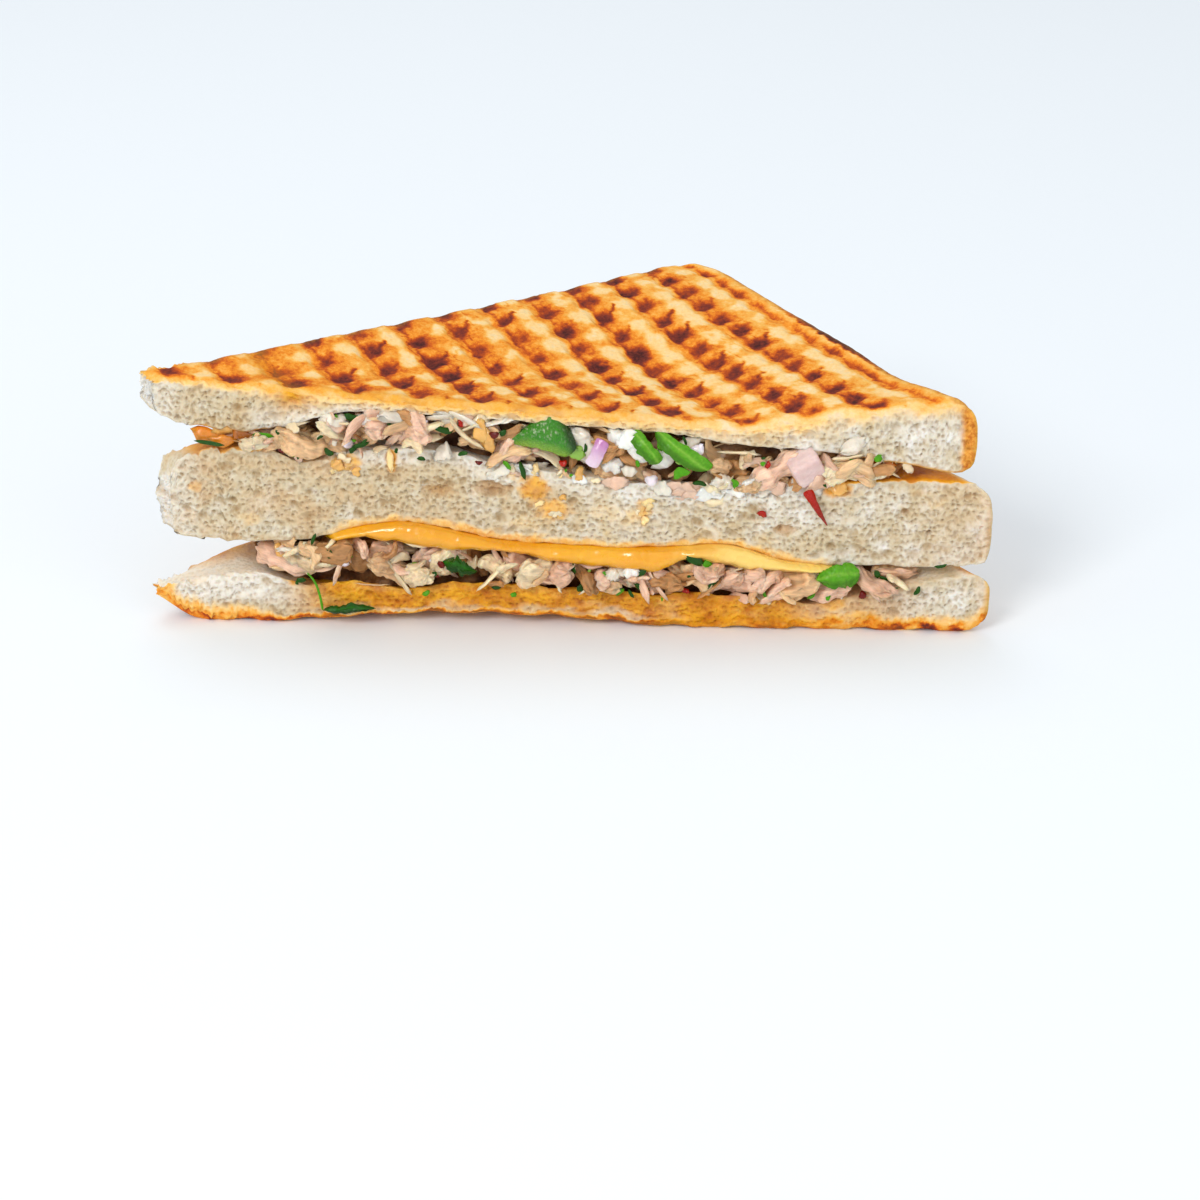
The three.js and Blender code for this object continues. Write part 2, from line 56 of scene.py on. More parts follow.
Pair = tuple[float, float]
Triple = tuple[float, float, float]
Numbers = np.random.Generator
Material = bpy.types.Material
Node = bpy.types.Node
Socket = bpy.types.NodeSocket
MM = 0.001  # metres in a millimetre

# ------------------------------------------------------------------ the sandwich's own sizes, in mm
LONG_CRUST = 123.0  # left corner to back corner
SHORT_CRUST = 84.0  # back corner to right corner
CORNER_RADIUS = 12.0
BASE_CENTRE = (1.775, 30.65)  # middle of the outline, in the numbers of the plan
GRILL_PITCH = 8.95  # from one grill groove to the next
FIRST_GROOVE = 16.5  # first groove, from the left corner along the long crust
TOOTH_PITCH = 5.75  # from one tooth of the grill to the next, along a groove
GROOVE_DEPTH = 0.85
SOLE_GROOVE_DEPTH = 1.0
EDGE_ROUNDING = 1.5
CRUST_BULGE = 1.0
TOP_SPAN = (5.0, 119.6)  # each slice's reach along the long crust
MIDDLE_SPAN = (6.6, 122.6)
BOTTOM_SPAN = (4.0, 122.9)
CHEESE_SPAN = (30.0, 101.0)
UPPER_SPAN = (16.0, 112.0)
LOWER_SPAN = (21.0, 112.0)
FILLING_INSET = 5.0  # distance of the fillings from the crusts
INNER_RADIUS = 9.0  # radius of the back corner of the fillings and the cheese
CORE_DEPTH = 4.2  # how far the fillings' cores lie behind the cut
KEEP_BACK = 2.6  # how far the pieces of the fillings draw back where garnish shows
FURTHEST_OUT = 3.4  # how far the smallest pieces of the fillings may stand out of the cut
EDGE_FADE = 2.5  # the faces of a slab follow their uneven edges over this distance
DENT = (-44.5, 2.8)  # middle and width of the dent near the lid's left end, along the cut
CHEESE_LIP = (-38, 47)  # where the cheese's lip hangs, along the cut

# Heights along the cut face, by distance from its middle, and along the long crust.
CUT_HEIGHTS = {
    "top_crown": [(-70, 46.8), (-52, 44.9), (-18, 42.1), (15, 39.8), (33, 38.7), (50, 41.4), (70, 44)],
    "top_under": [(-70, 38.6), (-52, 36.4), (-34, 40.2), (-10, 39), (15, 37.3), (33, 35), (50, 33.4),
                  (70, 30)],
    "middle_top": [(-68, 31.6), (-50, 33), (-43, 30.8), (-30, 33.2), (-18, 33), (-9, 30.6), (7, 28.5),
                   (24, 26.5), (41, 27.6), (58, 28.7), (75, 28.6)],
    "middle_under": [(-68, 16), (-45, 16.3), (-27, 20), (-9, 16.8), (15, 15.7), (30, 16.4), (41, 13.4),
                     (58, 12.9), (75, 13.2)],
    "cheese_lip": [(-38, 16.4), (-27, 14), (-8, 13.3), (7, 11.8), (16, 10.8), (23, 13.6), (33, 11.9),
                   (47, 11.2)],
    "bottom_top": [(-70, 6.3), (-53, 9.5), (-43, 7.2), (-27, 5.5), (-10, 6.1), (15, 5.2), (41, 4.5),
                   (56, 7.6), (75, 12)],
    "bottom_under": [(-70, 5), (-63, 0.3), (-50, 0), (-22, 2), (0, 1.6), (22, 0), (75, 0)],
}
CRUST_HEIGHTS = {
    "top_crown": [(4, 46.8), (43, 46.2), (84, 45.9), (120, 46.4)],
    "top_under": [(4, 38.6), (25, 33.6), (60, 31.6), (120, 31.2)],
    "middle_top": [(5, 31.6), (25, 31), (60, 29.3), (123, 28.9)],
    "middle_under": [(5, 16), (30, 15), (60, 14.5), (123, 14.3)],
    "bottom_top": [(4, 6.3), (20, 10.6), (50, 12), (123, 12.2)],
    "bottom_under": [(4, 5), (10, 0.4), (16, 0), (123, 0)],
}


class Tone(Enum):
    """Colours of the real food, and of the painted shade in its gaps and pores, as 8-bit sRGB values."""

    CRUMB = (214, 198, 168)
    CRUMB_TAN = (210, 186, 148)
    CRUMB_WHITE = (238, 233, 223)
    CREAM = (250, 212, 148)
    GOLD = (244, 182, 86)
    AMBER = (238, 146, 40)
    ORANGE = (208, 98, 26)
    RUST = (162, 66, 28)
    BROWN = (120, 50, 38)
    CHAR = (72, 32, 30)
    CRUST = (234, 163, 68)
    CRUST_DEEP = (205, 120, 41)
    SOAKED = (236, 166, 16)
    SOAKED_DEEP = (190, 108, 0)
    # Painted shade: the tone that the crumb darkens to deep in a pore or hollow.
    PORE_SHADE = (190, 160, 112)
    CHEESE = (238, 172, 22)
    CHEESE_DEEP = (224, 134, 8)
    CHEESE_PALE = (250, 216, 120)
    CHICKEN = (230, 188, 142)
    CHICKEN_TAN = (192, 140, 88)
    CHICKEN_PINK = (238, 194, 166)
    CHICKEN_PALE = (244, 220, 180)
    COOKED = (218, 184, 178)
    COOKED_PALE = (236, 212, 206)
    # Painted shade: the dark tone of the recessed core between the pieces of chicken.
    GAP_SHADE = (70, 32, 8)
    DRESSING = (229, 218, 200)
    SAUCE = (234, 176, 92)
    OIL = (184, 104, 22)
    PEPPER = (40, 124, 2)
    PEPPER_FLESH = (136, 178, 62)
    LEAF = (76, 150, 8)
    LEAF_PALE = (166, 204, 84)
    HERB = (28, 74, 6)
    ONION = (186, 112, 172)
    ONION_PALE = (240, 226, 232)
    CHILLI = (172, 22, 2)
    CHILLI_DARK = (104, 12, 4)
    FLOOR = (243, 248, 252)


def linear(tone: Tone) -> Array:
    """Red, green and blue of a named sRGB tone, in linear light."""
    share = np.array(tone.value) / 255.0
    return np.where(share <= 0.04045, share / 12.92, ((share + 0.055) / 1.055) ** 2.4)


# ------------------------------------------------------------------ numbers and noise
def smooth(low: float | Array, high: float | Array, value: Array) -> Array:
    """Eases from 0 at low to 1 at high: 3f^2 - 2f^3 of the share f, which is held in 0..1."""
    share = np.clip((value - low) / (np.asarray(high) - low), 0.0, 1.0)
    return share * share * (3.0 - 2.0 * share)


def between(rise: float, top: float, fall: float, end: float, value: Array) -> Array:
    """Eases from 0 at rise to 1 at top, and from 1 at fall back to 0 at end."""
    return smooth(rise, top, value) * (1 - smooth(fall, end, value))


def bell(value: Array, centre: float | Array, width: float | Array) -> Array:
    """A bell of height 1: exp(-((value - centre) / width)^2)."""
    return np.exp(-(((value - centre) / width) ** 2))


def mix(a: Array | float, b: Array | float, share: Array | float) -> Array | float:
    """The value that lies the given share of the way from a to b."""
    return a + (b - a) * share


def height_curve(points: Sequence[Pair]) -> Line:
    """Makes a smooth curve through a few points.

    Between two points it is the cubic whose end slopes are those of the chords between
    the points' neighbours.

    Args:
        points: (x, height) pairs, left to right.

    Returns:
        A function of an array of x.
    """
    xs, zs = (np.array(column, float) for column in zip(*points))
    before = np.maximum(np.arange(len(xs)) - 1, 0)
    after = np.minimum(np.arange(len(xs)) + 1, len(xs) - 1)
    slopes = (zs[after] - zs[before]) / (xs[after] - xs[before])

    def at(x: Array) -> Array:
        held = np.clip(x, xs[0], xs[-1])
        i = np.clip(np.searchsorted(xs, held, side="right") - 1, 0, len(xs) - 2)
        span = xs[i + 1] - xs[i]
        f = (held - xs[i]) / span
        rise = f * f * (3 - 2 * f)
        leave = f * (1 - f) ** 2 * slopes[i]
        arrive = f * f * (f - 1) * slopes[i + 1]
        return mix(zs[i], zs[i + 1], rise) + span * (leave + arrive)

    return at


def scatter(i: Array, j: Array, seed: int) -> Array:
    """A repeatable number in 0..1 for each pair of whole numbers, from mixed integer products."""
    mixed = (i.astype(np.int64) * 374761393 + j.astype(np.int64) * 668265263 + seed * 974711) & 0xFFFFFFFF
    mixed = ((mixed ^ (mixed >> 13)) * 1274126177) & 0xFFFFFFFF
    mixed = ((mixed ^ (mixed >> 16)) * 2246822519) & 0xFFFFFFFF
    return (mixed ^ (mixed >> 15)) / 4294967295.0


def waves(x: Array, y: Array, seed: int, octaves: int = 3) -> Array:
    """Uneven noise between about -1 and 1.

    Each octave eases between random numbers on a square lattice; the next one is twice as
    fine and half as high.
    """
    total, height, scale = np.zeros(np.broadcast(x, y).shape), 1.0, 1.0
    for octave in range(octaves):
        px, py = x * scale, y * scale
        ix, iy = np.floor(px), np.floor(py)
        fx, fy = px - ix, py - iy
        fx, fy = fx * fx * (3 - 2 * fx), fy * fy * (3 - 2 * fy)
        near = mix(scatter(ix, iy, seed + octave), scatter(ix + 1, iy, seed + octave), fx)
        far = mix(scatter(ix, iy + 1, seed + octave), scatter(ix + 1, iy + 1, seed + octave), fx)
        total += height * (2 * mix(near, far, fy) - 1)
        height, scale = height / 2, scale * 2.03
    return total / 1.6


def pores(x: Array, y: Array, cell: float, share: float, seed: int) -> Array:
    """Depth of round pores, 0 on the crumb's walls and up to 1 at a pore's bottom.

    One pore sits in the given share of the square cells; its depth is 1 - (distance/radius)^2.
    """
    px, py = x / cell, y / cell
    ix, iy = np.floor(px), np.floor(py)
    depth = np.zeros(np.broadcast(x, y).shape)
    for di in (-1, 0, 1):
        for dj in (-1, 0, 1):
            ci, cj = ix + di, iy + dj
            dx = px - (ci + 0.15 + 0.7 * scatter(ci, cj, seed))
            dy = py - (cj + 0.15 + 0.7 * scatter(ci, cj, seed + 1))
            size = scatter(ci, cj, seed + 2)
            lean = 1.2 * (scatter(ci, cj, seed + 3) - 0.5)
            radius = np.where(size < share, 0.28 + 0.34 * size / share, 1e-3)
            gone = ((dx + lean * dy) ** 2 + (1.35 * dy) ** 2) / radius**2
            depth = np.maximum(depth, (1 - gone) * (0.6 + 0.4 * scatter(ci, cj, seed + 4)))
    return np.clip(depth, 0, 1)


# ------------------------------------------------------------------ plan of the loaf slice
@dataclass(frozen=True)
class LoafPlan:
    """Outline of the cut slice, on a grid of its own.

    u runs along the long crust from the left corner and v along the short crust from the
    back corner. The cut is the line v = u * short / long.
    """

    long: float = LONG_CRUST
    short: float = SHORT_CRUST

    @property
    def cut(self) -> float:
        """Length of the cut from corner to corner."""
        return math.hypot(self.long, self.short)

    def cut_at(self, u: Array) -> Array:
        """The v of the cut at u."""
        return u * self.short / self.long

    def along_cut(self, u: Array) -> Array:
        """Distance from the middle of the cut, of the point of the cut at u."""
        return u * self.cut / self.long - self.cut / 2

    def spot(self, u: Array, v: Array, end: float, start: float, radius: float) -> tuple[Array, Array]:
        """Places (u, v) on the table, with the back corner rounded.

        In the corner's square, with a and b its shares from the round's start, the point
        goes to (a sqrt(1 - b^2/2), b sqrt(1 - a^2/2)), which turns the square into a
        quarter disc.

        Args:
            u, v: Grid values.
            end: The u of the short crust.
            start: The v of the long crust.
            radius: Radius of the back corner.

        Returns:
            x and y in the frame, in mm.
        """
        a = (u - (end - radius)) / radius
        b = (start + radius - v) / radius
        corner = (a > 0) & (b > 0)
        a2, b2 = np.where(corner, a, 0.0) ** 2, np.where(corner, b, 0.0) ** 2
        pu = np.where(corner, end - radius + radius * a * np.sqrt(np.clip(1 - b2 / 2, 0, 1)), u)
        pv = np.where(corner, start + radius - radius * b * np.sqrt(np.clip(1 - a2 / 2, 0, 1)), v)
        cos, sin = self.long / self.cut, self.short / self.cut
        x = pu * cos + pv * sin - self.cut / 2 - BASE_CENTRE[0]
        y = pu * sin - pv * cos - BASE_CENTRE[1]
        return x, y


PLAN = LoafPlan()
CUT_Y = -BASE_CENTRE[1]  # the cut face's plane in the frame
CUT_X = -BASE_CENTRE[0]  # the middle of the cut in the frame
ORIGIN = np.array([*BASE_CENTRE, 0.0])  # the frame's origin, in the numbers of the plan


AT_CUT = {name: height_curve(points) for name, points in CUT_HEIGHTS.items()}  # by distance along the cut


def layer_height(name: str) -> Face:
    """Height of one face of a slice anywhere in the loaf.

    It is the crust's height at the long crust, and eases into the cut's height over the
    first 0.6 of the way to the cut.
    """
    on_crust = height_curve(CRUST_HEIGHTS[name])

    def at(u: Array, v: Array) -> Array:
        inward = np.clip(v / np.maximum(PLAN.cut_at(u), 1.0), 0, 1)
        return mix(on_crust(u), AT_CUT[name](PLAN.along_cut(u)), smooth(0, 0.6, inward))

    return at


HEIGHT = {name: layer_height(name) for name in CRUST_HEIGHTS}


def lip_height(along: Array) -> Array:
    """Lowest height of the melted cheese at the cut, which has drawn up a little at the left."""
    return AT_CUT["cheese_lip"](along) + 0.7 + 1.6 * (1 - smooth(-26, 8, along))


def swollen(along: Array) -> Array:
    """Where the pressed slice swells up at the cut: 1 in its middle, 0 at its ends."""
    return between(-44, -34, 36, 46, along)


# ------------------------------------------------------------------ meshes from arrays
@dataclass
class Shell:
    """Points, faces and per-point values of one piece, in mm."""

    points: Array
    quads: Array = field(default_factory=lambda: np.zeros((0, 4), int))
    tris: Array = field(default_factory=lambda: np.zeros((0, 3), int))
    values: dict[str, Array] = field(default_factory=dict)

    @staticmethod
    def joined(shells: Sequence["Shell"]) -> "Shell":
        """Puts several shells with the same kinds of values into one."""
        starts = np.cumsum([0] + [len(s.points) for s in shells[:-1]])
        return Shell(
            np.concatenate([s.points for s in shells]),
            np.concatenate([s.quads + start for s, start in zip(shells, starts)]),
            np.concatenate([s.tris + start for s, start in zip(shells, starts)]),
            {key: np.concatenate([s.values[key] for s in shells]) for key in shells[0].values},
        )

    def settle(self, name: str, material: Material, slot: str, *nodes: str) -> None:
        """Makes a smooth-shaded mesh object, in metres, that rides on the sandwich.

        Args:
            name: Name of the object and of its mesh.
            material: Its one material.
            slot: The record's material slot; not used.
            nodes: CAD nodes that it stands for, if there are any.
        """
        mesh = bpy.data.meshes.new(name)
        corners = np.concatenate([self.quads.ravel(), self.tris.ravel()]).astype(np.int32)
        sides = np.concatenate([np.full(len(self.quads), 4), np.full(len(self.tris), 3)]).astype(np.int32)
        starts = (np.cumsum(sides) - sides).astype(np.int32)
        mesh.vertices.add(len(self.points))
        mesh.vertices.foreach_set("co", (self.points * MM).astype(np.float32).ravel())
        mesh.loops.add(len(corners))
        mesh.loops.foreach_set("vertex_index", corners)
        mesh.polygons.add(len(sides))
        mesh.polygons.foreach_set("loop_start", starts)
        mesh.polygons.foreach_set("loop_total", sides)
        mesh.polygons.foreach_set("use_smooth", np.ones(len(sides), bool))
        for key, value in self.values.items():
            if value.ndim == 2:
                layer = mesh.color_attributes.new(key, "FLOAT_COLOR", "POINT")
                rgba = np.concatenate([value, np.ones((len(value), 1))], axis=1)
                layer.data.foreach_set("color", rgba.astype(np.float32).ravel())
            else:
                layer = mesh.attributes.new(key, "FLOAT", "POINT")
                layer.data.foreach_set("value", value.astype(np.float32))
        mesh.update(calc_edges=True)
        mesh.validate()
        mesh.materials.append(material)
        made = bpy.data.objects.new(name, mesh)
        bpy.context.scene.collection.objects.link(made)
        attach(made, "root")
        if nodes:
            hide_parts(*nodes)
        LOG.info("%s: %d points", made.name, len(made.data.vertices))


@dataclass(frozen=True)
class Spots:
    """Where points of a slab lie, in the numbers of the plan.

    The path is the share round the wall, or -1 inside a face: 0..1 on the cut, 1..2 on the
    short crust, 2..3 on the long crust and 3..4 on the left end. The level is 0 on the
    upper face and 1 on the lower one.
    """

    u: Array
    v: Array
    z: Array
    path: Array
    level: Array

    @staticmethod
    def of(shell: Shell) -> "Spots":
        """The spots of a slab's points."""
        return Spots(z=shell.points[:, 2], **shell.values)

    @property
    def along(self) -> Array:
        """Distance from the middle of the cut, along it."""
        return PLAN.along_cut(self.u)

    @property
    def inward(self) -> Array:
        """Distance in from the cut, along v."""
        return PLAN.cut_at(self.u) - self.v

    @property
    def on_cut(self) -> Array:
        """Whether each point is on the cut's wall or its edges."""
        return (self.path >= 0) & (self.path < 1)

    @property
    def on_crust(self) -> Array:
        """Whether each point is on the wall of a crust or its edges."""
        return (self.path >= 1) & (self.path <= 3)

    @property
    def on_tip(self) -> Array:
        """Whether each point is on the left end's wall or its edges."""
        return self.path > 3

    @property
    def torn(self) -> Array:
        """Whether each point is on torn crumb: the cut or the left end."""
        return self.on_cut | self.on_tip


@dataclass
class SlabGrid:
    """A closed slab between two height functions, on the loaf's own grid.

    The upper and lower faces are grids of columns (along u) and rows (from the long crust
    to the cut). The wall runs once round them, level by level.
    """

    span: Pair
    columns: int
    rows: Array
    levels: int
    crown: Face
    under: Face
    wall: Callable[[Spots], Array]
    low: Line = staticmethod(lambda u: np.zeros_like(u))
    high: Line = staticmethod(PLAN.cut_at)
    radius: float = CORNER_RADIUS
    stride: int = 1

    def ring(self) -> tuple[Array, Array, Array]:
        """Column, row and path share of each stop round the grid."""
        n, m = self.columns - 1, len(self.rows) - 1
        share, row = np.linspace(0, 1, n + 1), self.rows
        i = np.concatenate([np.arange(n), np.full(m, n), np.arange(n, 0, -1), np.zeros(m, int)])
        j = np.concatenate([np.full(n, m), np.arange(m, 0, -1), np.zeros(n, int), np.arange(m)])
        s = np.concatenate([share[:-1], 2 - row[:0:-1], 3 - share[:0:-1], 3 + row[:-1]])
        return i.astype(int), j.astype(int), s

    def build(self) -> Shell:
        """Works out the slab.

        Each wall point is its plan spot moved outwards by wall(), at the height that lies
        the level's share of the way from the upper face to the lower one.

        Returns:
            A shell whose values are the u, v, path and level of its Spots.
        """
        u = np.linspace(*self.span, self.columns)[:, None] + np.zeros((1, len(self.rows)))
        v = mix(self.low(u), self.high(u), self.rows[None, :])
        end, start = self.span[1], float(self.low(np.array([self.span[1]]))[0])
        x, y = PLAN.spot(u, v, end, start, self.radius)
        top, low = self.crown(u, v), self.under(u, v)
        ri, rj, path = self.ring()
        level = np.linspace(0, 1, self.levels + 2)[:, None]
        rx, ry = x[ri, rj], y[ri, rj]
        tx, ty = np.roll(rx, -1) - np.roll(rx, 1), np.roll(ry, -1) - np.roll(ry, 1)
        run = np.hypot(tx, ty)
        ru, rv = u[ri, rj][None, :], v[ri, rj][None, :]
        rz = mix(top[ri, rj][None, :], low[ri, rj][None, :], level)
        out = self.wall(Spots(ru, rv, rz, path[None, :], level))
        wx, wy = rx + out * ty / run, ry - out * tx / run
        shifts = (np.stack([wx[k] - rx, wy[k] - ry]) for k in (0, -1))
        (dx, dy), (dx2, dy2) = (self._eased(u, v, shift) for shift in shifts)
        x2, y2 = x + dx2, y + dy2
        x, y = x + dx, y + dy
        x[ri, rj], y[ri, rj] = wx[0], wy[0]
        x2[ri, rj], y2[ri, rj] = wx[-1], wy[-1]

        n, m, k = self.columns, len(self.rows), len(ri)
        step = self.stride
        ci, cj = np.arange(0, n, step), np.arange(0, m, step)
        upper = np.arange(n * m).reshape(n, m)
        lower = n * m + np.arange(len(ci) * len(cj)).reshape(len(ci), len(cj))
        wall = n * m + lower.size + np.arange(self.levels * k).reshape(self.levels, k)
        take = np.ix_(ci, cj)
        points = np.concatenate([
            np.stack([x, y, top], -1).reshape(-1, 3),
            np.stack([x2[take], y2[take], low[take]], -1).reshape(-1, 3),
            np.stack([wx, wy, rz], -1)[1:-1].reshape(-1, 3),
        ])
        edge = np.full((n, m), -1.0)
        edge[ri, rj] = path
        on_grid = {"u": (u, ru), "v": (v, rv), "path": (edge, path)}
        values = {
            key: np.concatenate([face.ravel(), face[take].ravel(), np.tile(np.ravel(round_it), self.levels)])
            for key, (face, round_it) in on_grid.items()
        }
        values["level"] = np.repeat([0.0, 1.0, *level[1:-1, 0]], [n * m, lower.size] + [k] * self.levels)
        quads = [self._face(upper, up=True), self._face(lower, up=False)]
        loops = np.concatenate([upper[ri, rj][None, :], wall])
        ahead = np.roll(loops, -1, axis=1)
        quads.append(np.stack([loops[1:], ahead[1:], ahead[:-1], loops[:-1]], -1).reshape(-1, 4))
        last = lower[np.where(ri == n - 1, -1, ri // step), np.where(rj == m - 1, -1, rj // step)]
        onward = np.roll(last, -1)
        hem = np.stack([last, onward, ahead[-1], loops[-1]], -1)
        whole = last != onward
        quads.append(hem[whole])
        return Shell(points, np.concatenate(quads), hem[~whole][:, [0, 2, 3]], values)

    @staticmethod
    def _eased(u: Array, v: Array, move: Array) -> Array:
        """Shift of a face's points: that of the edges at the cut and the left end, fading inwards."""
        n, m = u.shape[0] - 1, u.shape[1] - 1
        front = (1 - np.clip((v[:, -1:] - v) / EDGE_FADE, 0, 1)) ** 2
        left = (1 - np.clip((u - u[:1]) / EDGE_FADE, 0, 1)) ** 2
        at_left = np.concatenate([move[:, 2 * n + m:], move[:, :1]], axis=1)
        return move[:, : n + 1, None] * front + at_left[:, None, :] * left * (1 - front)

    @staticmethod
    def _face(ids: Array, up: bool) -> Array:
        """Quads of a grid of point numbers, looking up or down."""
        a, b, c, d = ids[:-1, :-1], ids[:-1, 1:], ids[1:, 1:], ids[1:, :-1]
        order = (a, b, c, d) if up else (a, d, c, b)
        return np.stack(order, -1).reshape(-1, 4)


def crowded_rows(count: int, pull: float) -> Array:
    """Row shares from 0 to 1 that crowd towards both ends: share - pull sin(2 pi share) / 2 pi."""
    share = np.linspace(0, 1, count)
    return share - pull * np.sin(2 * np.pi * share) / (2 * np.pi)


# ------------------------------------------------------------------ node graphs
@dataclass
class Graph:
    """Short ways to fill the node tree of a material or of a group."""

    tree: bpy.types.NodeTree

    def add(self, kind: str, inputs: dict[str | int, object], **settings: object) -> Node:
        """Adds a node.

        Args:
            kind: The node's type name.
            inputs: Values or sockets for its inputs, by name or number.
            settings: Properties of the node.

        Returns:
            The node.
        """
        node = self.tree.nodes.new(kind)
        for key, value in settings.items():
            setattr(node, key, value)
        self.feed(node, inputs)
        return node

    def feed(self, node: Node, inputs: dict[str | int, object]) -> None:
        """Links sockets to a node's inputs, and sets the others to numbers or to tones' colours."""
        for key, value in inputs.items():
            if isinstance(value, Socket):
                self.tree.links.new(value, node.inputs[key])
            else:
                node.inputs[key].default_value = (*linear(value), 1.0) if isinstance(value, Tone) else value

    def math(self, operation: str, a: object, b: object, clamp: bool = False) -> Socket:
        """The result of a Math node."""
        return self.add("ShaderNodeMath", {0: a, 1: b}, operation=operation, use_clamp=clamp).outputs[0]

    def times(self, a: object, b: object) -> Socket:
        """a times b."""
        return self.math("MULTIPLY", a, b)

    def plus(self, a: object, b: object, clamp: bool = False) -> Socket:
        """a plus b, held in 0..1 if clamp is set."""
        return self.math("ADD", a, b, clamp)

    def minus(self, a: object, b: object, clamp: bool = False) -> Socket:
        """a less b, held in 0..1 if clamp is set."""
        return self.math("SUBTRACT", a, b, clamp)

    def spread(self, value: Socket, low: float, high: float, *ends: object) -> Socket:
        """Goes from one end to the other, 0 to 1 if none are given, while the value goes from low to high."""
        start, end = ends or (0.0, 1.0)
        inputs = {"Value": value, "From Min": low, "From Max": high, "To Min": start, "To Max": end}
        return self.add("ShaderNodeMapRange", inputs).outputs[0]

    def noise(self, place: Socket, scale: object, detail: float, roughness: float = 0.5) -> Socket:
        """The value of a Noise texture."""
        inputs = {"Vector": place, "Scale": scale, "Detail": detail, "Roughness": roughness}
        return self.add("ShaderNodeTexNoise", inputs).outputs["Fac"]

    def bump(self, height: Socket, strength: object, distance: float, **over: Socket) -> Socket:
        """The normal of a Bump node, which lies over another one's if Normal is given."""
        inputs = {"Height": height, "Strength": strength, "Distance": distance, **over}
        return self.add("ShaderNodeBump", inputs).outputs[0]

    def blend(self, share: object, a: object, b: object, mode: str = "MIX") -> Socket:
        """The colour of a Mix node."""
        return self.add("ShaderNodeMix", {0: share, 6: a, 7: b}, data_type="RGBA", blend_type=mode).outputs[2]

    def ramp(self, share: object, stops: Sequence[tuple[float, Tone]]) -> Socket:
        """The colour of a ColorRamp through named tones."""
        node = self.add("ShaderNodeValToRGB", {0: share})
        elements = node.color_ramp.elements
        while len(elements) < len(stops):
            elements.new(0.5)
        for element, (at, tone) in zip(elements, stops):
            element.position = at
            element.color = (*linear(tone), 1.0)
        return node.outputs[0]

    def held(self, attribute: str, output: str = "Fac") -> Socket:
        """The number, or the colour if the output is Color, that the mesh holds under this name."""
        return self.add("ShaderNodeAttribute", {}, attribute_name=attribute).outputs[output]

    def place(self) -> Socket:
        """Object coordinates."""
        return self.add("ShaderNodeTexCoord", {}).outputs["Object"]


def new_group(
    name: str, inputs: Sequence[tuple[str, str, float | None]], outputs: Sequence[tuple[str, str]]
) -> tuple[Graph, Sequence[Socket], Node]:
    """Starts a shader node group with named sockets.

    Args:
        name: The group's name.
        inputs: (name, kind of socket, default) of each input.
        outputs: (name, kind of socket) of each output.

    Returns:
        The group's graph, the sockets of its inputs and the node of its outputs.
    """
    tree = bpy.data.node_groups.new(name, "ShaderNodeTree")
    for title, kind, default in inputs:
        socket = tree.interface.new_socket(title, in_out="INPUT", socket_type="NodeSocket" + kind)
        if default is not None:
            socket.default_value = default
    for title, kind in outputs:
        tree.interface.new_socket(title, in_out="OUTPUT", socket_type="NodeSocket" + kind)
    source, target = tree.nodes.new("NodeGroupInput"), tree.nodes.new("NodeGroupOutput")
    return Graph(tree), source.outputs[: len(inputs)], target


def new_material(name: str) -> tuple[Material, Graph, Node]:
    """Starts a material, and gives it with its graph and its shader."""
    material = bpy.data.materials.new(name)
    material.use_nodes = True
    return material, Graph(material.node_tree), material.node_tree.nodes["Principled BSDF"]


@cache
def crumb_grain() -> bpy.types.NodeTree:
    """Fine open crumb: small pores and a soft mottle.

    Inputs are the place, the pore size in mm and the share of mottle. Outputs are a height
    for a Bump node and a shade between 0, in a pore, and 1.
    """
    graph, (place, pore, mottle), target = new_group(
        "crumb_grain",
        [("Place", "Vector", None), ("Pore", "Float", 0.6), ("Mottle", "Float", 0.4)],
        [("Height", "Float"), ("Shade", "Float")],
    )
    warp = graph.add("ShaderNodeTexNoise", {"Vector": place, "Scale": 900.0, "Detail": 2.0}).outputs["Color"]
    bent = graph.add("ShaderNodeVectorMath", {0: warp, "Scale": 0.0007}, operation="SCALE").outputs[0]
    moved = graph.add("ShaderNodeVectorMath", {0: place, 1: bent}, operation="ADD").outputs[0]
    scale = graph.math("DIVIDE", 1000.0, pore)
    cells = {"Vector": moved, "Scale": scale, "Smoothness": 0.5}
    cell = graph.add("ShaderNodeTexVoronoi", cells, feature="SMOOTH_F1")
    shade = graph.spread(cell.outputs["Distance"], 0.1, 0.6)
    height = graph.plus(shade, graph.times(graph.noise(place, 700.0, 5.0), mottle))
    graph.feed(target, {"Height": height, "Shade": shade})
    return graph.tree


@cache
def wet_mottle() -> bpy.types.NodeTree:
    """Uneven wetness and colour of moist food.

    Inputs are the place, the patch size in mm, the roughness where it is wettest and driest,
    and the depth of the mottle. Outputs are a roughness, a height for a Bump node and a shade
    around 1 that multiplies a colour.
    """
    graph, (place, patch, wet, dry, depth), target = new_group(
        "wet_mottle",
        [("Place", "Vector", None), ("Patch", "Float", 2.0), ("Wet", "Float", 0.25), ("Dry", "Float", 0.6),
         ("Depth", "Float", 0.2)],
        [("Roughness", "Float"), ("Height", "Float"), ("Shade", "Color")],
    )
    scale = graph.math("DIVIDE", 1000.0, patch)
    rough = graph.spread(graph.noise(place, scale, 5.0), 0.35, 0.65, wet, dry)
    grain = graph.noise(place, graph.times(scale, 3.1), 4.0)
    deep = graph.times(graph.minus(grain, 0.5), depth)
    shade = graph.plus(graph.times(deep, 2.0), 1.0)
    tint = graph.add("ShaderNodeCombineXYZ", {0: shade, 1: shade, 2: shade}).outputs[0]
    graph.feed(target, {"Roughness": rough, "Height": grain, "Shade": tint})
    return graph.tree


